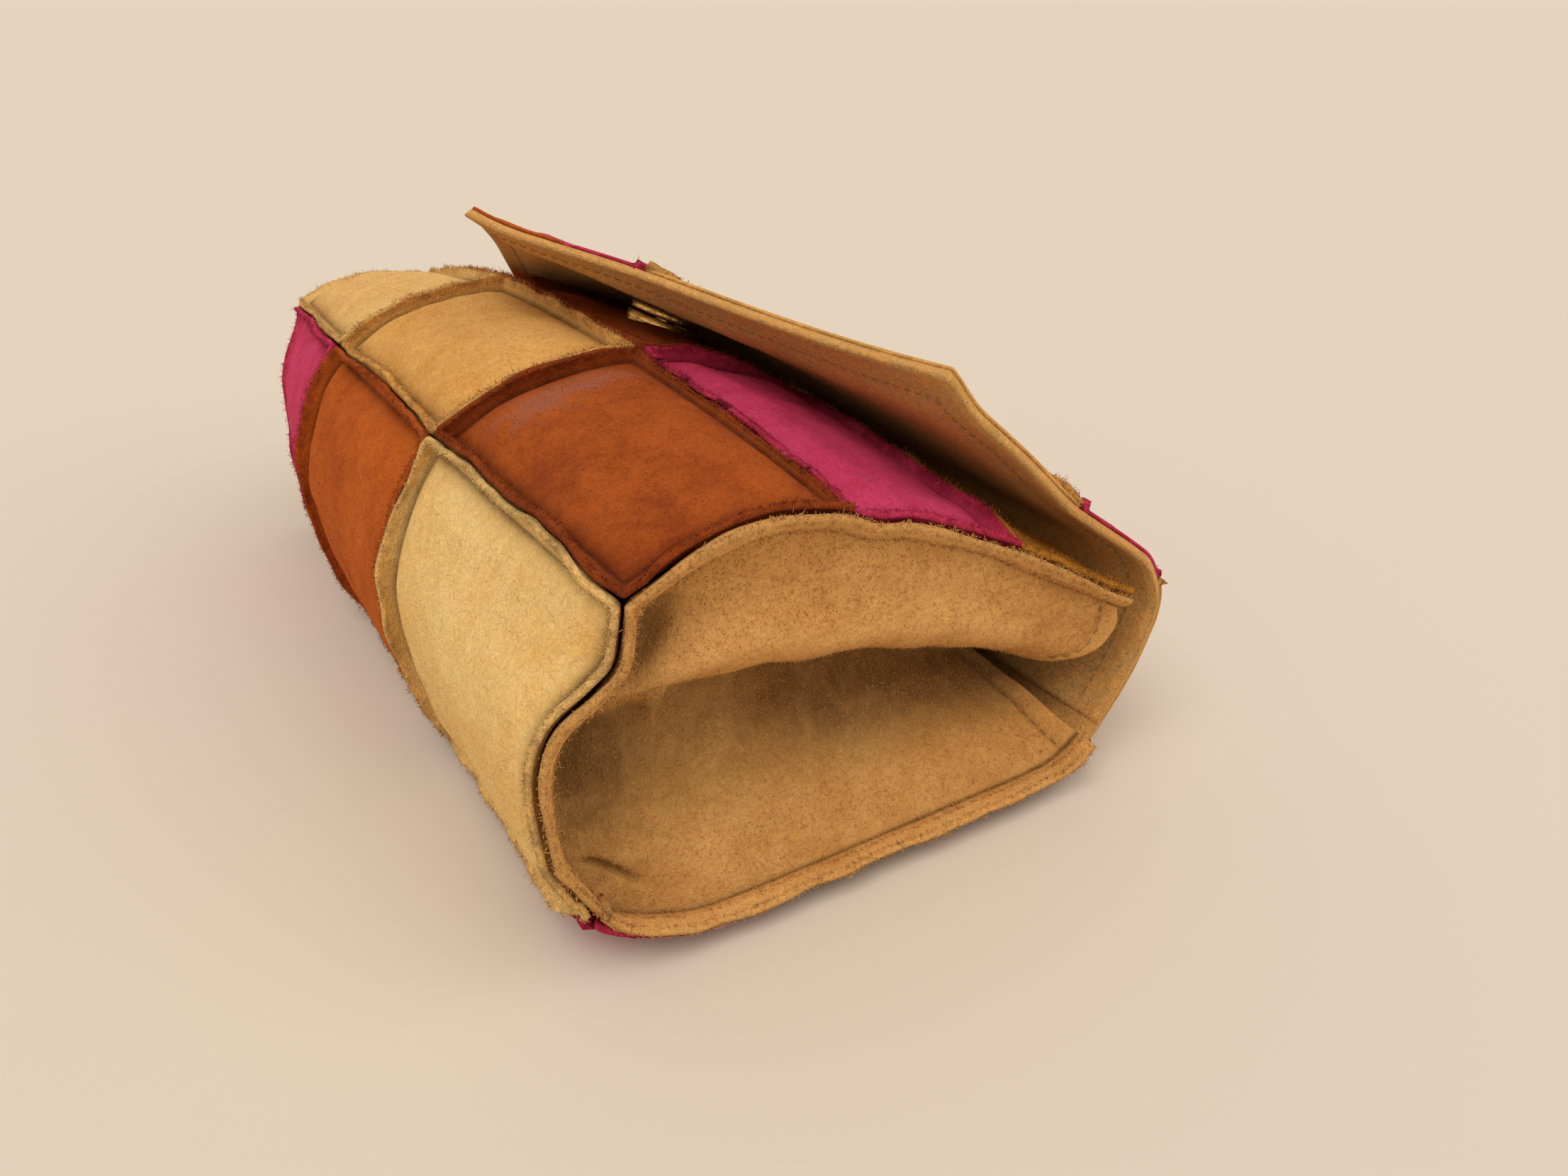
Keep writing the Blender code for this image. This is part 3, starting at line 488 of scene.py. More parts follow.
# The rows of points of a turned-up edge: share of the fillet left, height, share of the ridge
RISE = ((0.55, 0.00008, 0), (0.22, 0.00028, 0), (0.05, 0.00065, 0), (0, 0.0008, 0.12), (0, 0.0, 0.52),
        (0, 0.0, 0.74), (0, 0.0, 0.9), (-0.12, 0.0, 1.0))
CLOSE_STEPS = np.array([0, 0.35, 0.8, 1.4, 2.2, 3.2]) * MM


def spread(length, step):
    """Shares from 0 to 1 across a length, closer together near both ends."""
    inner = length - 2 * CLOSE_STEPS[-1]
    count = max(2, round(inner / step))
    middle = CLOSE_STEPS[-1] + inner * np.arange(1, count) / count
    return np.concatenate([CLOSE_STEPS, middle, length - CLOSE_STEPS[::-1]]) / length


class Sheet:
    """A grid of points with its quads and marks, and more rows of points joined along its borders."""

    def __init__(self, grid, crease):
        rows, cols = grid.shape[:2]
        self.index = np.arange(rows * cols).reshape(rows, cols)
        self.total = rows * cols
        self.faces = [grid_faces(rows, cols)]
        self.points = [grid.reshape(-1, 3)]
        self.crease = [crease.reshape(-1)]
        self.raw = [np.zeros(rows * cols)]
        self.shared = {}

    def add_row(self, below, corners, level, spots, crease, raw):
        """Joins a row to the row below. Rows that meet at a corner of the grid share its point."""
        keys = {at: (int(corner), level) for at, corner in zip((0, -1), corners)}
        fresh = np.ones(len(spots), bool)
        for at, key in keys.items():
            fresh[at] = key not in self.shared
        count = int(fresh.sum())
        row = np.zeros(len(spots), int)
        row[fresh] = self.total + np.arange(count)
        for at, key in keys.items():
            row[at] = self.shared.setdefault(key, int(row[at]))
        self.total += count
        self.points.append(spots[fresh])
        self.crease.append(np.full(count, crease))
        self.raw.append(np.full(count, raw))
        self.faces.append(np.stack([below[:-1], below[1:], row[1:], row[:-1]], 1))
        return row

    def close(self, name, thickness, outward, finish, body, nodes=None, probe=1):
        """The sheet as a closed piece, which stands for the node of its name or for the given nodes."""
        marks = {"crease": np.concatenate(self.crease), "raw": np.concatenate(self.raw)}
        nodes = [name] if nodes is None else nodes
        return solid(name, np.vstack(self.points), np.vstack(unify(self.faces)), thickness, outward, marks,
                     finish, body, nodes, probe)


def patch(name, place, normal, lip, size, inset, ridges, crown, finish, body, seed, step=1.25 * MM):
    """A patch between its seams: a face a little puffed, and edges turned out and standing as ridges.

    place(a, b) gives the face and normal(a, b) its normal, lip(side, a, b) the way a ridge stands and
    how far it leans. size is (width, length) in metres, inset the metres from each seam to the ridge's
    face by side, ridges the height of each ridge by side.
    """
    width, length = size
    p, q = spread(width, step), spread(length, step)
    fillet = {side: (FILLET if side in ridges else 0.0) for side in SIDES}

    def spots(p, q, k):
        a_low = (inset["left"] + fillet["left"] * k) / width
        a_high = 1 - (inset["right"] + fillet["right"] * k) / width
        a = a_low + (a_high - a_low) * p
        b_low = (inset["start"](a) + fillet["start"] * k) / length
        b_high = 1 - (inset["finish"](a) + fillet["finish"] * k) / length
        return a, b_low + (b_high - b_low) * q

    a, b = spots(*np.meshgrid(p, q), 1.0)
    points = place(a, b)
    gaps = {"left": a * width, "right": (1 - a) * width, "start": b * length, "finish": (1 - b) * length}
    puff, painted_seam_shade, thick = np.ones_like(a), np.zeros_like(a), np.ones_like(a)
    for side, gap in gaps.items():
        gap = gap - SUEDE - FILLET
        if side in ridges:
            puff = puff * (1 - (1 - np.clip(gap / (PUFF_REACH * width), 0, 1)) ** PUFF_POWER)
            # Painted shade: a dark line on the face close to each ridged seam.
            painted_seam_shade = np.maximum(painted_seam_shade, np.exp(-np.clip(gap, 0, None) / SEAM_SHADE))
        else:
            puff = puff * smooth(gap / FREE_EDGE)
            if body == "flap":
                thick = np.minimum(thick, THIN_EDGE + (1 - THIN_EDGE) * smooth((gap + SUEDE) / FREE_EDGE))
    lift = puff * (crown + 0.30 * MM * wobble(points, 19 * MM, seed)
                   + 0.12 * MM * wobble(points, 7 * MM, seed + 1))
    points = points + normal(a, b) * lift[..., None]
    outward = normal(np.array(0.5), np.array(0.5))
    density = NAP_DENSITY.get(name, NAP_ELSEWHERE)
    if density:
        nap(f"{name}_nap", points[5:-5, 5:-5], outward, density, PATCH_NAP, finish, body, seed + 3)
    sheet = Sheet(points, painted_seam_shade)
    borders = {"left": (sheet.index[:, 0], 0 * q, q), "right": (sheet.index[:, -1], 0 * q + 1, q),
               "start": (sheet.index[0], p, 0 * p), "finish": (sheet.index[-1], p, 0 * p + 1)}
    for side in [side for side in SIDES if side in ridges]:
        below, side_p, side_q = borders[side]
        corners = below[[0, -1]]
        for level, (k, rise, share) in enumerate(RISE):
            a, b = spots(side_p, side_q, k)
            height = rise + share * ridges[side](a, b)
            stand, lean = lip(side, a, b)
            spot = place(a, b) + stand * height[:, None] + lean * ((height / RIDGE) ** LEAN_POWER)[:, None]
            # Painted shade at the foot of the ridge, fading as the ridge rises.
            dark = max(0.0, 1 - height.mean() / (1.3 * MM))
            below = sheet.add_row(below, corners, level, spot, dark, share)
        if not name.startswith("back"):
            inward = normal(a, b) if side in ("start", "finish") else stand
            keep_raw_edge(body, finish, spot - stand * 0.1 * MM, unit(stand + 0.2 * inward))
    rim = np.ones(sheet.total - thick.size)
    thickness = SUEDE * np.concatenate([thick.reshape(-1), rim])[:, None]
    return sheet.close(name, thickness, outward, finish, body)


def unify(groups):
    """Turns each strip of quads so that its first edge runs against the faces it joins."""
    done = [groups[0]]
    seen = {(int(f[k]), int(f[(k + 1) % 4])) for f in groups[0] for k in range(4)}
    for strip in groups[1:]:
        first = strip[len(strip) // 2]
        edge = (int(first[0]), int(first[1]))
        if edge in seen:
            strip = strip[:, ::-1]
        seen |= {(int(f[k]), int(f[(k + 1) % 4])) for f in strip for k in range(4)}
        done.append(strip)
    return done


def column_span(column):
    return -1 + 2 * column / 3, -1 + 2 * (column + 1) / 3


def fades(gap):
    """How much of a seam's lean a point takes, by its distance from the seam."""
    return smooth(1 - gap / (5 * MM))[..., None]


def seam_lean(points, seed, bias):
    """How far the top of a ridge leans, in metres."""
    long_wave, short_wave = wobble(points, 34 * MM, seed), wobble(points, 4.5 * MM, seed + 5)
    return (bias + 0.9 * MM * long_wave + 0.18 * MM * short_wave)[..., None]


def seam_wave(panel, u, share):
    """How the edges of the gusset seams wander across their line, in metres."""
    return 0.45 * MM * wobble(panel_point(panel, u, share), 26 * MM, 61)


def leaning(seams, bias):
    """The lean of a ridge near seams given as (way, points on the seam, seed, distance, whether there)."""
    return sum(way * seam_lean(points, seed, bias) * fades(gap)
               for way, points, seed, gap, there in seams if there)


def name_seed(name):
    return 100 + 7 * (sum(map(ord, name)) % 97)


def body_patch(name, panel, column, span, finish):
    ridge, bias = (BACK_RIDGE, 0.0) if panel == "back" else (RIDGE, SEAM_BIAS)
    u_low, u_high = column_span(column)
    low, high = span
    open_mouth = panel == "front" and high == 1.0
    length = float(panel_length(panel, (u_low + u_high) / 2)) * (high - low)

    def u_of(a):
        return u_low + (u_high - u_low) * a

    def share_of(b):
        return low + (high - low) * b

    def place(a, b):
        return panel_point(panel, u_of(a), share_of(b))

    def normal(a, b):
        return panel_normal(panel, u_of(a), share_of(b))

    def mitred(seam, inside):
        def metres(a):
            u = u_of(a)
            at_seam = np.full_like(u, seam)
            out = seam_direction(panel, u, at_seam)
            ahead = unit(panel_point(panel, u, 0 * u + inside) - panel_point(panel, u, at_seam))
            leaned = np.abs((ahead * out).sum(-1))
            wide = INSET + (GAP / 2 if seam in (0.0, 1.0) else 0.0)
            wide = wide / np.sqrt(np.maximum(0.1, 1 - leaned ** 2))
            return wide * length / (panel_length(panel, u) * (high - low))
        return metres

    def lip(side, a, b):
        u, share = u_of(a), share_of(b)
        on_start = b * length < 4 * INSET
        on_finish = (1 - b) * length < 4 * INSET
        share = np.where(on_start, low, np.where(on_finish & (not open_mouth), high, share))
        out = seam_direction(panel, u, share)
        end = end_lip_direction(panel, np.sign(u) * np.ones_like(u), share)
        to_end = (1 - np.abs(u)) * HALF_LENGTH
        at_end = side == ("right" if column == 2 else "left") and column != 1
        weight = (to_end * 0 + 1 if at_end else smooth(1 - (to_end - 2 * MM) / (5 * MM)))[..., None]
        along = panel_slopes(panel, u, share, *LEAN_LIMITS)[0]
        crosswise = unit(np.cross(out, along))
        lean = leaning((
            (along, place(0 * a, b), 31 + column, a * COLUMN_WIDTH, column > 0),
            (along, place(0 * a + 1, b), 32 + column, (1 - a) * COLUMN_WIDTH, column < 2),
            (crosswise, panel_point(panel, u, share * 0 + low), 41, b * length, True),
            (crosswise, panel_point(panel, u, share * 0 + high), 41, (1 - b) * length, not open_mouth),
        ), bias)
        lean = lean * (1 - weight) + out * seam_wave(panel, np.sign(u), share)[..., None] * weight
        return unit(out * (1 - weight) + end * weight), lean * (BACK_CALM if panel == "back" else 1.0)

    def column_ridge(a, b):
        high_here = ridge * (1 + 0.10 * wobble(place(a, b), 9 * MM, 17))
        middle_length = PANELS[panel][1].length
        if panel == "back":
            from_hinge = share_of(b) * middle_length
            return high_here * (HINGE_LEAST + (1 - HINGE_LEAST) * smooth(from_hinge / (4 * MM)))
        if panel == "base":
            return high_here
        low_seam = smooth((u_of(a) - 0.25) / 0.25) * hump(share_of(b), FRONT_SEAMS[1], 0.12)
        high_here = high_here * (1 - 0.5 * low_seam)
        return high_here * np.minimum(1.0, 0.15 + (1 - share_of(b)) * middle_length / MOUTH_TAPER)

    def end_ridge(a, b):
        band = BACK_BAND if panel == "back" else END_BAND
        return band * (1 + 0.06 * wobble(place(a, b), 8 * MM, 19))

    edges = {"left": INSET if column else SUEDE, "right": INSET if column < 2 else SUEDE,
             "start": mitred(low, low + 0.03),
             "finish": (lambda a: 0 * a + GAP) if open_mouth else mitred(high, high - 0.03)}
    ridges = {side: column_ridge for side in SIDES}
    if column != 1:
        ridges["right" if column else "left"] = end_ridge
    if open_mouth:
        del ridges["finish"]
    step = BACK_STEP if panel == "back" else FACE_STEP
    return patch(name, place, normal, lip, (COLUMN_WIDTH, length), edges, ridges, CROWNS[panel], finish,
                 "bag", name_seed(name), step)


def flap_patch(name, u_span, run_of, finish, joined):
    u_low, u_high = u_span
    width = (u_high - u_low) * HALF_LENGTH
    middle_low, middle_high = run_of(np.array(0.5 * (u_low + u_high)))
    length = float(middle_high - middle_low)

    def u_of(a):
        return u_low + (u_high - u_low) * a

    def shorter(a):
        low, high = run_of(u_of(a))
        return length / (high - low)

    def run(a, b):
        low, high = run_of(u_of(a))
        return low + (high - low) * b

    def place(a, b):
        return flap_point(u_of(a), run(a, b))

    def normal(a, b):
        return flap_normal(u_of(a), run(a, b))

    def lip(side, a, b):
        along, onward = flap_slopes(u_of(a), run(a, b))
        return normal(a, b), leaning((
            (along, place(0 * a, b), 71, a * width, "left" in joined),
            (along, place(0 * a + 1, b), 71, (1 - a) * width, "right" in joined),
            (onward, place(a, 0 * b), 73, b * length, "start" in joined),
            (onward, place(a, 0 * b + 1), 73, (1 - b) * length, "finish" in joined),
        ), SEAM_BIAS)

    def ridge(a, b):
        rising = np.minimum(1.0, 0.1 + run(a, b) / SEAM_TAPER)
        left = flap_edge(u_of(a)) - run(a, b)
        aside = np.minimum(left, (1 - np.abs(u_of(a))) * HALF_LENGTH)
        rising = rising * (0.25 + 0.75 * smooth(aside / (6 * MM)))
        return FLAP_RIDGE * rising * (1 + 0.10 * wobble(place(a, b), 9 * MM, 17))

    edges = {side: INSET if side in joined else GAP / 2 for side in SIDES}
    start, finish_edge = HINGE_GAP if name.startswith("hinge_row") else edges["start"], edges["finish"]
    edges["start"] = lambda a: shorter(a) * start
    edges["finish"] = lambda a: shorter(a) * finish_edge
    ridges = {side: ridge for side in SIDES if side in joined}
    return patch(name, place, normal, lip, (width, length), edges, ridges, FLAP_CROWN, finish, "flap",
                 name_seed(name))


def new_material(name):
    made = bpy.data.materials.new(name)
    made.use_nodes = True
    tree = made.node_tree
    return made, tree, tree.nodes["Principled BSDF"]




def give(node, values):
    for key, value in values.items():
        node.inputs[key].default_value = value


def object_place(tree):
    return tree.nodes.new("ShaderNodeTexCoord").outputs["Object"]


def noise(tree, where, scale, detail, roughness, distortion=0.0):
    made = tree.nodes.new("ShaderNodeTexNoise")
    tree.links.new(where, made.inputs["Vector"])
    give(made, {"Scale": scale, "Detail": detail, "Roughness": roughness, "Distortion": distortion})
    return made.outputs["Fac"]


def maths(tree, operation, first, second=0.0, third=None, clamp=False):
    made = tree.nodes.new("ShaderNodeMath")
    made.operation = operation
    made.use_clamp = clamp
    for socket, value in zip(made.inputs, (first, second, third)):
        if value is None:
            continue
        if isinstance(value, (int, float)):
            socket.default_value = value
        else:
            tree.links.new(value, socket)
    return made.outputs[0]


def ranged(tree, value, low, high, to_low=0.0, to_high=1.0):
    made = tree.nodes.new("ShaderNodeMapRange")
    tree.links.new(value, made.inputs["Value"])
    give(made, {"From Min": low, "From Max": high, "To Min": to_low, "To Max": to_high})
    return made.outputs["Result"]


def mixed(tree, share, first, second, kind="MIX"):
    made = tree.nodes.new("ShaderNodeMix")
    made.data_type = "RGBA"
    made.blend_type = kind
    for socket, value in ((made.inputs[0], share), (made.inputs[6], first), (made.inputs[7], second)):
        if isinstance(value, (int, float)):
            socket.default_value = value
        elif isinstance(value, tuple):
            socket.default_value = (*value, 1.0)
        else:
            tree.links.new(value, socket)
    return made.outputs[2]


def multiplied(tree, colour, factor):
    return mixed(tree, 1.0, colour, factor, "MULTIPLY")


def stretched(tree, where, centre, reach):
    """Distance from a centre, 1 at the reach along each axis."""
    made = where
    for operation, value in (("SUBTRACT", centre), ("DIVIDE", reach), ("LENGTH", None)):
        step = tree.nodes.new("ShaderNodeVectorMath")
        step.operation = operation
        tree.links.new(made, step.inputs[0])
        if value:
            step.inputs[1].default_value = value
            made = step.outputs[0]
    return step.outputs["Value"]


def bump(tree, shader, height, distance, strength=1.0):
    made = tree.nodes.new("ShaderNodeBump")
    give(made, {"Strength": strength, "Distance": distance})
    tree.links.new(height, made.inputs["Height"])
    tree.links.new(made.outputs["Normal"], shader.inputs["Normal"])


def mark(tree, label):
    made = tree.nodes.new("ShaderNodeAttribute")
    made.attribute_name = label
    return made.outputs["Fac"]


def suede(name, tones, stains=()):
    """Brushed split leather: mottled, granular nap, painted shade in the seams and folds, worn and dirty on
    raw edges.
    """
    face, brushed, raw_tone = tones
    made, tree, shader = new_material(name)
    where = object_place(tree)
    broad = noise(tree, where, 48, 3, 0.55, 0.5)
    patchy = noise(tree, where, 230, 4, 0.66, 0.5)
    pile = noise(tree, where, 1100, 3, 0.72, 0.8)
    fibre = noise(tree, where, 3300, 2, 0.75)
    blotch = maths(tree, "ADD", maths(tree, "MULTIPLY", broad, 0.55), maths(tree, "MULTIPLY", patchy, 0.45))
    grain = maths(tree, "ADD", maths(tree, "MULTIPLY", pile, 0.55), maths(tree, "MULTIPLY", fibre, 0.45))
    colour = mixed(tree, ranged(tree, blotch, 0.38, 0.60), brushed, face)
    colour = multiplied(tree, colour, ranged(tree, grain, 0.32, 0.68, 0.76, 1.20))
    # Painted light on the tips of nap and fibres, partly their paler tone: the tip mark lightens tips and
    # barely touches roots.
    colour = multiplied(tree, colour, ranged(tree, mark(tree, "tip"), -2.0, 2.0, 0.60, 1.40))
    for centre, reach, tone, strength in stains:
        edge = ranged(tree, patchy, 0.3, 0.7, -0.55, 0.55)
        ragged = maths(tree, "ADD", stretched(tree, where, centre, reach), edge)
        colour = mixed(tree, ranged(tree, ragged, 1.15, 0.45, 0.0, strength), colour, tone)
    edge_tone = mixed(tree, ranged(tree, patchy, 0.40, 0.60), raw_tone, brushed)
    edge_tone = multiplied(tree, edge_tone, ranged(tree, grain, 0.30, 0.70, 0.55, 1.45))
    colour = mixed(tree, ranged(tree, mark(tree, "raw"), 0.05, 0.8, 0.0, 0.85), colour, edge_tone)
    # Painted shade: the crease mark mixes the suede toward this dark tone in seams, folds and grooves.
    dark = tuple(0.24 * c ** 1.25 for c in raw_tone)
    depth = maths(tree, "MULTIPLY", maths(tree, "POWER", mark(tree, "crease"), 1.3),
                  ranged(tree, patchy, 0.3, 0.7, 0.95, 0.70))
    tree.links.new(mixed(tree, depth, colour, dark), shader.inputs["Base Color"])
    tint = tuple(min(1.0, 1.2 * c + 0.05) for c in face)
    give(shader, {"Roughness": 0.95, "Specular IOR Level": 0.08, "Sheen Weight": 0.18,
                  "Sheen Roughness": 0.45, "Sheen Tint": (*tint, 1.0)})
    bump(tree, shader, maths(tree, "ADD", grain, maths(tree, "MULTIPLY", patchy, 0.9)), 0.0007)
    return made


def thread_finish(name, colour):
    made, tree, shader = new_material(name)
    twist = noise(tree, object_place(tree), 3800, 2, 0.6)
    colour = mixed(tree, ranged(tree, twist, 0.3, 0.7), tuple(0.6 * c for c in colour), colour)
    tree.links.new(colour, shader.inputs["Base Color"])
    give(shader, {"Roughness": 0.75})
    bump(tree, shader, twist, 0.0001)
    return made


def metal_finish(name, colour, tarnish, roughness):
    made, tree, shader = new_material(name)
    where = object_place(tree)
    spots = noise(tree, where, 900, 4, 0.6)
    scuffs = noise(tree, where, 5200, 2, 0.6)
    tone = mixed(tree, ranged(tree, spots, 0.42, 0.68), colour, tarnish)
    tree.links.new(tone, shader.inputs["Base Color"])
    give(shader, {"Metallic": 1.0})
    tree.links.new(ranged(tree, spots, 0.3, 0.7, roughness, roughness + 0.22), shader.inputs["Roughness"])
    bump(tree, shader, scuffs, 0.00005, 0.25)
    return made


MATERIALS = {name: suede(name, tones) for name, tones in SUEDES.items()}
THREAD = thread_finish("thread_brown", (0.34, 0.165, 0.060))
BRASS = metal_finish("brass_aged", (0.93, 0.60, 0.19), (0.42, 0.23, 0.07), 0.17)
MAGNET = metal_finish("magnet_grey", (0.22, 0.21, 0.20), (0.10, 0.10, 0.10), 0.40)
# Tufts of nap per square millimetre
NAP_ELSEWHERE = 0.5
NAP_DENSITY = {"base_patch_near": 1.8, "base_patch_middle": 1.4, "base_patch_far": 1.0,
               "front_row_1_near": 2.4, "front_row_1_middle": 1.6, "front_row_1_far": 1.2,
               "front_row_2_near": 2.0,
               **{f"back_row_{row}_{side}": 0 for row in (1, 2, 3) for side in COLUMNS}}


def stained_rust():
    """The near rust patch has two pale grey scuffs by its seams."""
    grey = (0.36, 0.125, 0.075)
    scuffs = ((0.45, 0.145, (0.006, 0.0075, 0.01), 0.6), (0.44, 0.245, (0.005, 0.006, 0.01), 0.55))
    stains = [(tuple(panel_point("front", u, share)), reach, grey, strength)
              for u, share, reach, strength in scuffs]
    return suede("suede_rust_scuffed", SUEDES["suede_rust"], stains)


def build_body_patches():
    finishes = {"front_row_1_near": stained_rust()}
    rows = [("base_patch", "base", (0.0, 1.0))]
    for row in range(3):
        rows.append((f"front_row_{row + 1}", "front", FRONT_SEAMS[row:row + 2]))
        rows.append((f"back_row_{row + 1}", "back", BACK_SEAMS[2 - row:4 - row]))
    for column, side in enumerate(COLUMNS):
        for row, panel, span in rows:
            name = f"{row}_{side}"
            body_patch(name, panel, column, span, finishes.get(name, MATERIALS[PATCHWORK[row][column]]))


def build_flap_patches():
    ends = (0.0, HINGE_ROW, HINGE_ROW + FLAP_ROW)
    rows = (("hinge_row", lambda u: (0 * u + ends[0], 0 * u + ends[1]), {"finish"}),
            ("flap_row_1", lambda u: (0 * u + ends[1], 0 * u + ends[2]), {"start", "finish"}),
            ("flap_row_2", lambda u: (0 * u + ends[2], np.minimum(flap_edge(u), TIP_SEAM)), {"start"}))
    for column, side in enumerate(COLUMNS):
        beside = ({"left"} if column else set()) | ({"right"} if column < 2 else set())
        for row, run_of, joined in rows:
            flap_patch(f"{row}_{side}", column_span(column), run_of, MATERIALS[PATCHWORK[row][column]],
                       beside | joined)
    shortest = TIP_SEAM + 2 * SUEDE
    flap_patch("flap_tip", (-point_reach(False, shortest), point_reach(True, shortest)),
               lambda u: (0 * u + TIP_SEAM + GAP, flap_edge(u)), MATERIALS[PATCHWORK["flap_tip"][0]], set())


def build_body_lining():
    below = SUEDE + LINING_CLEARANCE
    u = np.linspace(-1, 1, 61) * (1 - LINING_END / HALF_LENGTH)
    rows = []
    for panel, shares in (("back", np.linspace(LINING_SETBACK / PANELS["back"][1].length, 1, 36)[:-1]),
                          ("base", np.linspace(0, 1, 24)[:-1]), ("front", np.linspace(0, 1, 36))):
        for share in shares:
            v = np.full_like(u, share)
            out, flat = seam_direction(panel, u, v), panel_normal(panel, u, v)
            cut = np.maximum(0.5, (out * flat).sum(-1))
            rows.append(panel_point(panel, u, v) - out * (below / cut)[:, None])
    points = np.array(rows)
    Sheet(points, 0 * points[..., 0]).close("body_lining", LINING, panel_normal("back", 0.0, 0.05),
                                            MATERIALS["lining_tan"], "bag")


LINING_SNUG = 0.12 * MM  # clearance under the patches at the flap's edges
HEM_INSET = 5 * MM  # the line of stitches stands this far inside the flap's edge


def flap_lining_point(u, run, edge_gap):
    """The lining's outer face: it closes up to the patches along the flap's edges."""
    thin = 1 - (1 - THIN_EDGE) * (1 - smooth(edge_gap / FREE_EDGE))
    clear = smooth((edge_gap - 3 * MM) / (9 * MM))
    below = SUEDE * thin + LINING_SNUG + (LINING_CLEARANCE - LINING_SNUG) * clear
    return flap_point(u, run) - flap_normal(u, run) * below[..., None]


def build_flap_lining():
    u, v = np.meshgrid(np.linspace(-1, 1, 111), np.linspace(0, 1, 90))
    edge = flap_edge(u)
    run = LINING_SETBACK + (edge - LINING_SETBACK) * v
    gap = np.minimum((1 - np.abs(u)) * HALF_LENGTH, edge - run)
    points = flap_lining_point(u, run, gap)
    groove = np.exp(-((gap - HEM_INSET) / (0.7 * MM)) ** 2)
    ripple = 0.10 * MM * wobble(points, 12 * MM, 7)
    points = points - flap_normal(u, run) * (ripple * smooth(gap / (4 * MM)) - 0.12 * MM * groove)[..., None]
    under = points - flap_normal(u, run) * LINING
    nap("flap_lining_nap", under[2:-2, 2:-2], -flap_normal(np.array(0.5), np.array(0.06)), 0.5, PATCH_NAP,
        MATERIALS["lining_tan"], "flap", 950)
    thickness = LINING + SUEDE * (1 - THIN_EDGE) * (1 - smooth(gap / FREE_EDGE)).reshape(-1, 1)
    # Painted shade along the stitch groove of the lining.
    Sheet(points, 0.45 * groove).close("flap_lining", thickness, flap_normal(np.array(-1.0), np.array(0.01)),
                                       MATERIALS["lining_tan"], "flap")
    # Stitches along the edges, on the visible underside
    turn = np.linspace(-1 + HEM_INSET / HALF_LENGTH, 1 - HEM_INSET / HALF_LENGTH, 120)
    line_u = np.concatenate([np.full(90, turn[0]), turn, np.full(90, turn[-1])])
    inner = flap_edge(turn) - HEM_INSET
    line_run = np.concatenate([np.linspace(4 * MM, inner[0], 90), inner, np.linspace(inner[-1], 4 * MM, 90)])
    out = flap_normal(line_u, line_run)
    under = flap_point(line_u, line_run) - out * (SUEDE + LINING + 0.45 * MM)
    stitches("flap_lining_stitches", under, -out, "flap")


def build_hinge_strip():
    """The turned-in seam allowance between the back's and the flap's linings, bending at the hinge."""
    reach, below, corner_below = 3 * MM, 1.6 * MM, 1.75 * MM
    u = np.linspace(-1.01, 1.01, 60)
    back_length = PANELS["back"][1].length
    rows = []
    for along in np.linspace(-reach, 0, 5)[:-1]:
        share = np.full_like(u, -along / back_length)
        rows.append(panel_point("back", u, share) - panel_normal("back", u, share) * below)
    corner = unit(panel_normal("back", u, 0 * u) + flap_normal(u, 0 * u))
    rows.append(flap_point(u, 0 * u) - corner * corner_below)
    for along in np.linspace(0, reach, 5)[1:]:
        run = np.full_like(u, along)
        rows.append(flap_point(u, run) - flap_normal(u, run) * below)
    points = np.array(rows)
    # The whole strip carries a fixed share of painted shade, tucked in at the hinge.
    piece = Sheet(points, np.full(points.shape[:2], 0.35)).close("hinge_strip", 0.3 * MM, (0, 0.5, -1),
                                                                 MATERIALS["lining_tan"], None, [], probe=99)
    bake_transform(piece)


# Along one stitch: height above the suede and share of the thread's radius
STITCH_RISE = np.array([-0.22, -0.06, 0.03, 0.06, 0.03, -0.06, -0.22]) * MM
STITCH_WIDTH = np.array([0.35, 0.85, 1, 1, 1, 0.85, 0.35])


def stitches(name, line, out, body, pitch=2.3 * MM, share=0.66, radius=0.10 * MM):
    """Running stitches along a line: short threads that dive into the suede at both ends."""
    run = run_along(line)
    points, faces, sides, rings = [], [], 6, len(STITCH_RISE)
    turn = np.linspace(0, 2 * math.pi, sides, endpoint=False)[:, None]
    wide = radius * STITCH_WIDTH[:, None, None]
    for k in range(int(run[-1] / pitch)):
        spots = (k + 0.14 + share * np.linspace(0, 1, rings)) * pitch
        centre, up = read_along(spots, run, line), unit(read_along(spots, run, out))
        along = unit(np.gradient(centre, axis=0))
        beside = unit(np.cross(along, up))
        up = np.cross(beside, along)
        round_thread = beside[:, None] * np.cos(turn) + up[:, None] * np.sin(turn)
        first = len(points)
        points.extend(((centre + up * STITCH_RISE[:, None])[:, None] + wide * round_thread).reshape(-1, 3))
        faces.extend(tube_faces(rings, sides, first))
        faces.append(tuple(first + i for i in range(sides)))
        faces.append(tuple(first + (rings - 1) * sides + i for i in reversed(range(sides))))
    return make(name, points, faces, THREAD, body)


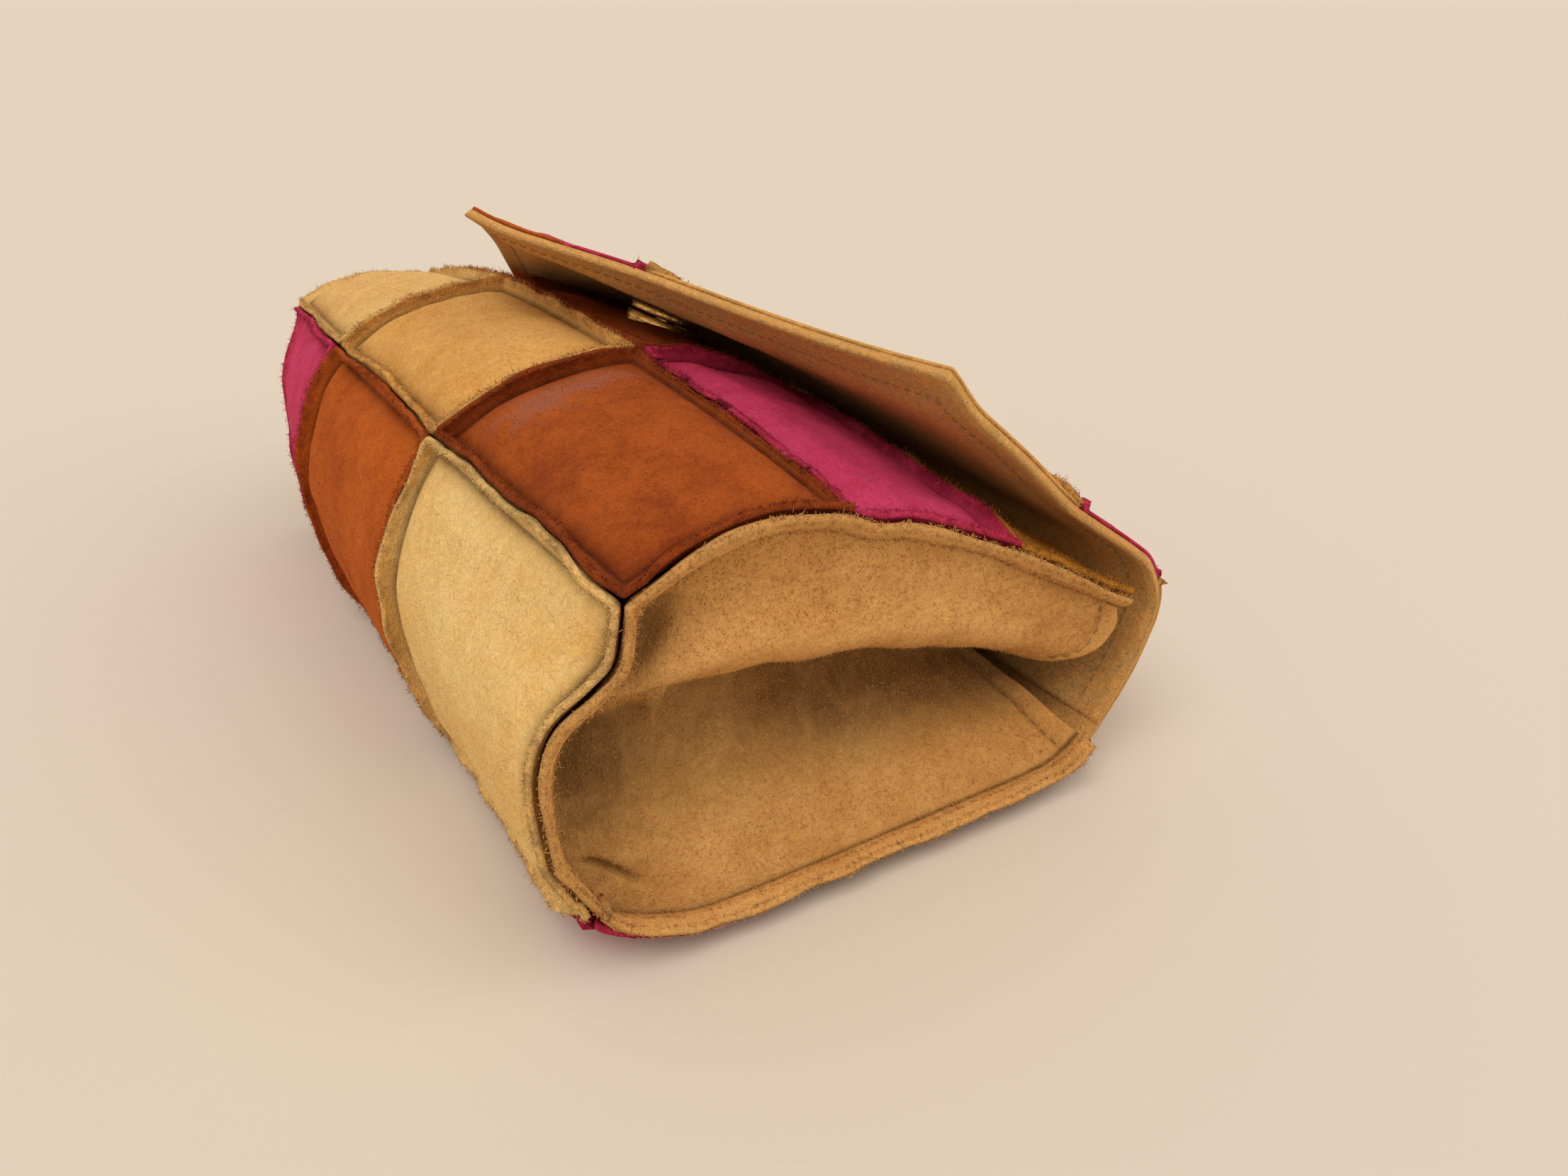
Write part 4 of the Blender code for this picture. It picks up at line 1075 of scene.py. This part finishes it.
# Depth of the near gusset's fold in millimetres: rows from base to mouth, columns from back to front
FOLD_ROWS = (0.0, 0.05, 0.12, 0.25, 0.45, 0.7, 0.88, 1.0)
FOLD_COLUMNS = (0.0, 0.1, 0.22, 0.35, 0.46, 0.54, 0.61, 0.67, 0.74, 0.86, 1.0)
FOLD_DEPTH = (
    (0, 0, 0, 0, 0, 0, 0, 0, 0, 0, 0),
    (0, 2.8, 3.4, 5.2, 7.4, 6.4, 5.4, 3.6, 3.2, 4.6, 0),
    (0, 3.0, 5.0, 7.2, 9.6, 9.6, 8.4, 4.0, 2.0, 4.2, 0),
    (0, 3.0, 6.2, 9.4, 12.0, 13.0, 11.6, 5.2, 1.6, 2.6, 0),
    (0, 3.8, 8.2, 12.8, 16.8, 17.5, 15.0, 7.6, 2.4, 1.8, 0),
    (0, 4.5, 9.5, 15.6, 20.2, 20.5, 17.0, 9.2, 3.6, 1.6, 0),
    (0, 4.6, 9.6, 16.0, 21.0, 20.0, 15.5, 8.0, 3.6, 1.3, 0),
    (0, 4.6, 9.5, 16.2, 21.0, 19.0, 13.5, 6.8, 3.0, 1.2, 0),
)
GUSSET_SLANT = 0.011


def through(knots, values, x):
    """A smooth curve through the values at the knots, read at x."""
    slope = np.gradient(values, knots, axis=0)
    i = np.clip(np.searchsorted(knots, x) - 1, 0, len(knots) - 2)
    h = knots[i + 1] - knots[i]
    s, h = ((x - knots[i]) / h)[:, None], h[:, None]
    return ((2 * s ** 3 - 3 * s ** 2 + 1) * values[i] + (s ** 3 - 2 * s ** 2 + s) * h * slope[i]
            + (-2 * s ** 3 + 3 * s ** 2) * values[i + 1] + (s ** 3 - s ** 2) * h * slope[i + 1])


def table_at(rows, columns, table, w, t, fine=100):
    """Smooth reading between the entries of a table."""
    line = np.linspace(0, 1, fine + 1)
    dense = through(np.array(columns), through(np.array(rows), np.asarray(table, float), line).T, line).T
    x, y = np.clip(w, 0, 1) * fine, np.clip(t, 0, 1) * fine
    i, j = np.minimum(x.astype(int), fine - 1), np.minimum(y.astype(int), fine - 1)
    s, r = x - i, y - j
    return (dense[i, j] * (1 - s) * (1 - r) + dense[i + 1, j] * s * (1 - r)
            + dense[i, j + 1] * (1 - s) * r + dense[i + 1, j + 1] * s * r)


def rim_ways(side, panel, share):
    """At the gusset's seam: the way the rim stands, the panel's normal, and the way into the gusset."""
    end = np.full_like(share, side)
    lip, out = end_lip_direction(panel, end, share), seam_direction(panel, end, share)
    return lip, out, unit(lip * (lip * out).sum(-1, keepdims=True) - out)


def rim_point(side, panel, share):
    root = panel_point(panel, np.full_like(share, side * (1 - SUEDE / HALF_LENGTH)), share)
    return root + rim_ways(side, panel, share)[2] * (2 * SUEDE + GUSSET_GAP)


def rim_share(panel, w):
    """Share along the back or the front that the gusset's edge has reached at w."""
    if panel == "back":
        return 1 - w * (1 - HINGE_SETBACK / PANELS["back"][1].length)
    return w * (1 - 0.5 * HEM_SETBACK / PANELS["front"][1].length)


def gusset_point(side, w, t):
    """The gusset's outer face: w from the base to the mouth, t from the back to the front."""
    w, t = np.broadcast_arrays(np.asarray(w, float), np.asarray(t, float))
    back, front = (rim_point(side, panel, rim_share(panel, w)) for panel in ("back", "front"))
    base, low, high = (rim_point(side, "base", share) for share in (t, 0 * t, 0 * t + 1))
    level = low + (high - low) * t[..., None]
    flat = back + (front - back) * t[..., None] + (1 - w[..., None]) * (base - level)
    deep = table_at(FOLD_ROWS, FOLD_COLUMNS, FOLD_DEPTH, w, t) * MM
    rounding = (2.2 * hump(t, 0.88, 0.13) - 2.6 * hump(t, 0.71, 0.12)) * MM * smooth((w - 0.86) / 0.14)
    tongue = hump(t, 0.70, 0.22) * smooth(w / 0.35)
    drop = 2.6 * MM * tongue + 2.4 * MM * hump(t, 0.84, 0.16) * smooth((w - 0.6) / 0.35)
    slant = rounding - GUSSET_SLANT * w ** 3 * (deep / (21 * MM))
    return flat + np.stack([-side * (deep - 0.8 * MM * tongue), slant, -drop], -1)


# The rim's rows of points: share of its height, and how far it swells inward in millimetres
LIP_ROWS = ((0.05, 0.04), (0.11, 0.30), (0.22, 0.50), (0.40, 0.62), (0.62, 0.58), (0.80, 0.36), (0.93, 0.04),
            (1.0, -0.40))
GUSSET_BAND = 0.0040
GUSSET_BACK_BAND = 0.0045


GUSSET_SIZE = (92, 75)  # from base to mouth and from back to front, in millimetres
GUSSET_STEPS = (1.0 * MM, 0.85 * MM)
GUSSET_NAP = {1: 3.0, -1: 0.6}
PLEAT = 2.6 * MM
HEM_AT = 0.957


def gusset_forms(side, w, t, points):
    """Height of the ridge, the pleat, the hollows, the ripples and the hem, and the pleat's depth alone."""
    pulled = w - (0.20 + 0.12 * (t - 0.48))
    ridge = 2.3 * MM * np.exp(-(pulled / 0.020) ** 2) * smooth((t - 0.30) / 0.10) * smooth((0.64 - t) / 0.10)
    pleat = (w - 0.085) + 0.8 * (t - 0.14)
    pleat = -PLEAT * np.exp(-(pleat / 0.014) ** 2) * hump(t, 0.15, 0.11) * hump(w, 0.085, 0.09)
    hollow = (-4.0 * MM * hump(w, 0.075, 0.075) * hump(t, 0.47, 0.13)
              - 2.5 * MM * hump(w, 0.06, 0.05) * hump(t, 0.86, 0.11))
    ripple = 0.35 * MM * wobble(points, 17 * MM, 301 + side) + 0.14 * MM * wobble(points, 6 * MM, 303 + side)
    inside = smooth(w / 0.08) * smooth(t / 0.08) * smooth((1 - t) / 0.08)
    hem = smooth((w - 0.955) / 0.006) * 0.45 * MM - 0.25 * MM * np.exp(-((w - HEM_AT) / 0.006) ** 2)
    return (ripple + ridge + pleat + hollow) * inside + hem, pleat


def gusset_painted_shade(w, t, pleat):
    """Painted shade on the gusset: deep in its folds, beside its seams, along its hem and in the pleat."""
    near = np.minimum(np.minimum(w * GUSSET_SIZE[0], t * GUSSET_SIZE[1]), (1 - t) * GUSSET_SIZE[1])
    # Painted shade: darker deeper into the fold below the tongue, more so toward the mouth, near the base and
    # in the hollows.
    deep_in = smooth((t - 0.08) / 0.36)
    lower = (0.24 + 0.52 * deep_in + 0.42 * deep_in * smooth((w - 0.30) / 0.3)
             + 0.30 * (1 - smooth(w / 0.25)) + 0.60 * hump(w, 0.075, 0.10) * hump(t, 0.42, 0.17))
    upper = 0.42 * (1 - smooth((w - 0.05) / 0.16)) + 0.45 * hump(w, 0.06, 0.08) * hump(t, 0.84, 0.15)
    shade = lower * smooth((0.60 - t) / 0.08) + upper * smooth((t - 0.56) / 0.08)
    return np.clip(np.clip(shade, 0, 0.95) + 0.95 * np.exp(-(near / 0.55) ** 2)
                   + 0.25 * np.exp(-((w - HEM_AT) / 0.006) ** 2) + 0.35 * np.clip(-pleat / PLEAT, 0, 1), 0, 1)


def build_gusset(name, side):
    w_line, t_line = (spread(size * MM, step) for size, step in zip(GUSSET_SIZE, GUSSET_STEPS))
    t, w = np.meshgrid(t_line, w_line)
    points = gusset_point(side, w, t)
    look = 0.004
    normal = unit(np.cross(gusset_point(side, w + look, t) - gusset_point(side, w - look, t),
                           gusset_point(side, w, t + look) - gusset_point(side, w, t - look)))
    normal = normal * np.sign(normal[..., :1] * side + 1e-9)
    height, pleat = gusset_forms(side, w, t, points)
    points = points + normal * height[..., None]
    nap(f"{name}_nap", points[4:-3, 4:-4], (side, 0, 0), GUSSET_NAP[side], 0.65 * MM, MATERIALS["lining_tan"],
        "bag", 900 + side)
    sheet = Sheet(points, gusset_painted_shade(w, t, pleat))
    seams = []
    for panel, below, share, (w_edge, t_edge) in (
            ("back", sheet.index[:, 0], rim_share("back", w_line), (w_line, 0 * w_line)),
            ("front", sheet.index[:, -1], rim_share("front", w_line), (w_line, 0 * w_line + 1)),
            ("base", sheet.index[0], t_line, (0 * t_line, t_line))):
        root = gusset_point(side, w_edge, t_edge)
        lip, out, inner = rim_ways(side, panel, share)
        band, calm = (GUSSET_BACK_BAND, BACK_CALM) if panel == "back" else (GUSSET_BAND, 1.0)
        wave = seam_wave(panel, np.full_like(share, side), share) * calm
        height = band * (1 + 0.06 * wobble(root, 8 * MM, 23))
        seams.append((panel, root + lip * 0.35 * MM, lip))
        corners = below[[0, -1]]
        for level, (part, plump) in enumerate(LIP_ROWS):
            rise = height * part
            across_seam = out * (wave * (rise / RIDGE) ** LEAN_POWER)[:, None]
            spot = root + lip * rise[:, None] + across_seam + inner * plump * MM
            if level % 2:
                keep_raw_edge("bag", MATERIALS["lining_tan"], spot, unit(0.6 * lip + inner * (1.1 - part)))
            # The rim's lower rows carry painted shade at its root, fading as the rim rises.
            below = sheet.add_row(below, corners, level, spot, max(0.0, 0.6 - part * 2), 0.45 * part ** 3)
    sheet.close(name, SUEDE, (side, 0.0, 0.0), MATERIALS["lining_tan"], "bag", probe=len(sheet.faces[0]))
    for panel, line, lip in seams:
        flat = unit(np.cross(np.gradient(line, axis=0), lip))
        stitches(f"{name}_{panel}_stitches", line, flat * np.sign(flat[:, :1] * side + 1e-9), "bag")
    line = gusset_point(side, np.full(140, HEM_AT), np.linspace(0.02, 0.98, 140))
    line = line + np.array([side * 0.15 * MM, 0, 0])
    out = normal[-8][np.linspace(0, len(t_line) - 1, 140).astype(int)]
    stitches(f"{name}_hem_stitches", line, out, "bag")


def lathe(name, profile, finish, place, body, nodes, steps=72):
    """A solid turned about its own axis from (radius, height) points, closed on the axis or round a bore."""
    turn = np.linspace(0, 2 * math.pi, steps, endpoint=False)
    rings = [p for p in profile if p[0] > 0]
    points = []
    for radius, height in rings:
        points.extend(np.stack([radius * np.cos(turn), radius * np.sin(turn), 0 * turn + height], -1))
    faces = tube_faces(len(rings), steps)
    last, top = (len(rings) - 1) * steps, len(points)
    on_axis = profile[0][0] == 0
    if on_axis:
        points += [(0, 0, profile[0][1]), (0, 0, profile[-1][1])]
    for i in range(steps):
        after = (i + 1) % steps
        if on_axis:
            faces += [(top, after, i), (top + 1, last + i, last + after)]
        else:
            faces.append((last + i, last + after, after, i))
    piece = make(name, [place @ Vector(p) for p in points], faces, finish, body, nodes, None)
    piece.data.set_sharp_from_angle(angle=math.radians(38))


def build_snap():
    spot, out, ahead = front_frame()
    side = np.cross(ahead, out)
    place = Matrix.Translation(spot) @ Matrix((side, ahead, out)).transposed().to_4x4()
    radius, wall = SNAP_DIAMETER / 2, 0.0009
    seat, top = GAP, GAP + SOCKET_HEIGHT
    floor = seat + 0.35 * SOCKET_HEIGHT
    round_off, groove = 0.25 * MM, 0.22 * MM
    step = 0.3 * round_off
    lathe("snap_socket", [
        (0, top - 0.5 * SOCKET_HEIGHT), (1.3 * MM, top - 0.5 * SOCKET_HEIGHT), (1.5 * MM, floor),
        (radius - wall, floor), (radius - wall, top - 0.1 * MM), (radius - wall + 0.1 * MM, top),
        (radius - round_off, top), (radius - step, top - step), (radius, top - round_off),
        (radius, seat + 1.3 * MM), (radius - groove, seat + 1.15 * MM), (radius - groove, seat + 0.95 * MM),
        (radius, seat + 0.8 * MM), (radius, seat + round_off), (radius - round_off, seat), (0, seat),
    ], BRASS, place, "bag", ["snap_socket", "snap_socket_washer"])
    bore, outside = STUB_DIAMETER / 2 + 1.4 * STUB_LENGTH, radius - wall - GAP
    lathe("snap_magnet", [
        (bore, floor + GAP), (bore, top - GAP), (outside, top - GAP), (outside, floor + GAP),
    ], MAGNET, place, "bag", ["snap_magnet"])
    low = top + GAP
    high = low + STUD_HEIGHT
    edge = radius - 0.3 * MM
    lathe("snap_stud", [
        (0, high), (edge - round_off, high), (edge - step, high - step),
        (edge, high - round_off), (edge, low + round_off), (edge - step, low + step),
        (edge - round_off, low), (STUB_DIAMETER / 2, low), (STUB_DIAMETER / 2, low - STUB_LENGTH),
        (0, low - STUB_LENGTH),
    ], BRASS, place, "flap", ["snap_stud", "snap_stud_washer"])


def build_fibres(per_metre=7000):
    """Loose fibres that stand on the raw edges."""
    draw = np.random.default_rng(2024)
    for (body, finish), edges in sorted(RAW_EDGES.items()):
        roots, ways = [], []
        for spots, stands in edges:
            run = run_along(spots)
            at = draw.uniform(0, run[-1], int(run[-1] * per_metre))
            roots.append(read_along(at, run, spots))
            ways.append(read_along(at, run, stands))
        roots, ways = np.vstack(roots), np.vstack(ways)
        count = len(roots)
        roots = roots + draw.normal(size=(count, 3)) * 0.20 * MM
        ways = unit(ways + 0.75 * draw.normal(size=(count, 3)))
        reach = (draw.gamma(2.2, 0.19, (count, 1)) + 0.15) * MM
        thick = draw.uniform(0.05, 0.11, (count, 1)) * MM
        name = f"fibres_{body}_{finish.replace('.', '_')}"
        spikes(name, roots, ways, reach, thick, bpy.data.materials[finish], body, 0.45, draw)


build_body_patches()
build_flap_patches()
build_body_lining()
build_flap_lining()
build_hinge_strip()
build_gusset("gusset_near", 1)
build_gusset("gusset_far", -1)
build_fibres()
build_snap()


def floor_finish():
    """A plain pale table top."""
    made, tree, shader = new_material("floor_pale")
    give(shader, {"Base Color": (0.69, 0.59, 0.485, 1.0), "Roughness": 0.7, "Specular IOR Level": 0.0})
    return made


def build_stage():
    reach = 14.0
    mesh = bpy.data.meshes.new("floor")
    corners = [(-reach, -reach, 0), (reach, -reach, 0), (reach, reach, 0), (-reach, reach, 0)]
    mesh.from_pydata(corners, [], [(0, 1, 2, 3)])
    mesh.materials.append(floor_finish())
    floor = bpy.data.objects.new("floor", mesh)
    floor.location.z = cad_low[2]
    bpy.context.scene.collection.objects.link(floor)


def sun(name, source, strength, spread_degrees, colour):
    """A wide soft lamp, far off in the direction of its source."""
    data = bpy.data.lights.new(name, "SUN")
    data.energy = strength
    data.angle = math.radians(spread_degrees)
    data.color = colour
    made = bpy.data.objects.new(name, data)
    bpy.context.scene.collection.objects.link(made)
    made.location = source
    made.rotation_mode = "QUATERNION"
    made.rotation_quaternion = (-Vector(source)).to_track_quat("-Z", "Y")


def build_light():
    world = bpy.data.worlds.new("world")
    bpy.context.scene.world = world
    world.use_nodes = True
    tree = world.node_tree
    base = tree.nodes["Background"]
    base.inputs["Color"].default_value = (1.0, 0.97, 0.93, 1)
    base.inputs["Strength"].default_value = 0.60
    seen = tree.nodes.new("ShaderNodeBackground")
    seen.inputs["Color"].default_value = (0.80, 0.66, 0.52, 1)
    seen.inputs["Strength"].default_value = 1.0
    path = tree.nodes.new("ShaderNodeLightPath")
    either = maths(tree, "MAXIMUM", path.outputs["Is Camera Ray"], path.outputs["Is Transmission Ray"])
    either = maths(tree, "MAXIMUM", either, path.outputs["Is Glossy Ray"])
    join = tree.nodes.new("ShaderNodeMixShader")
    tree.links.new(either, join.inputs[0])
    tree.links.new(base.outputs[0], join.inputs[1])
    tree.links.new(seen.outputs[0], join.inputs[2])
    tree.links.new(join.outputs[0], tree.nodes["World Output"].inputs["Surface"])
    sun("key", (0.32, -0.52, 0.92), 1.45, 42, (1.0, 0.96, 0.90))
    sun("fill", (0.70, 0.50, 0.75), 0.75, 55, (1.0, 0.96, 0.92))


def build_camera():
    data = bpy.data.cameras.new("camera")
    data.lens = 26.85
    data.sensor_width = 36.0
    data.clip_start = 0.005
    data.clip_end = 60.0
    made = bpy.data.objects.new("camera", data)
    bpy.context.scene.collection.objects.link(made)
    made.location = (0.2140, -0.09305, 0.1253)
    made.rotation_mode = "QUATERNION"
    made.rotation_quaternion = Vector((-0.755, 0.474, -0.453)).to_track_quat("-Z", "Y")
    bpy.context.scene.camera = made


build_stage()
build_light()
build_camera()
bpy.context.scene.view_settings.view_transform = "Standard"
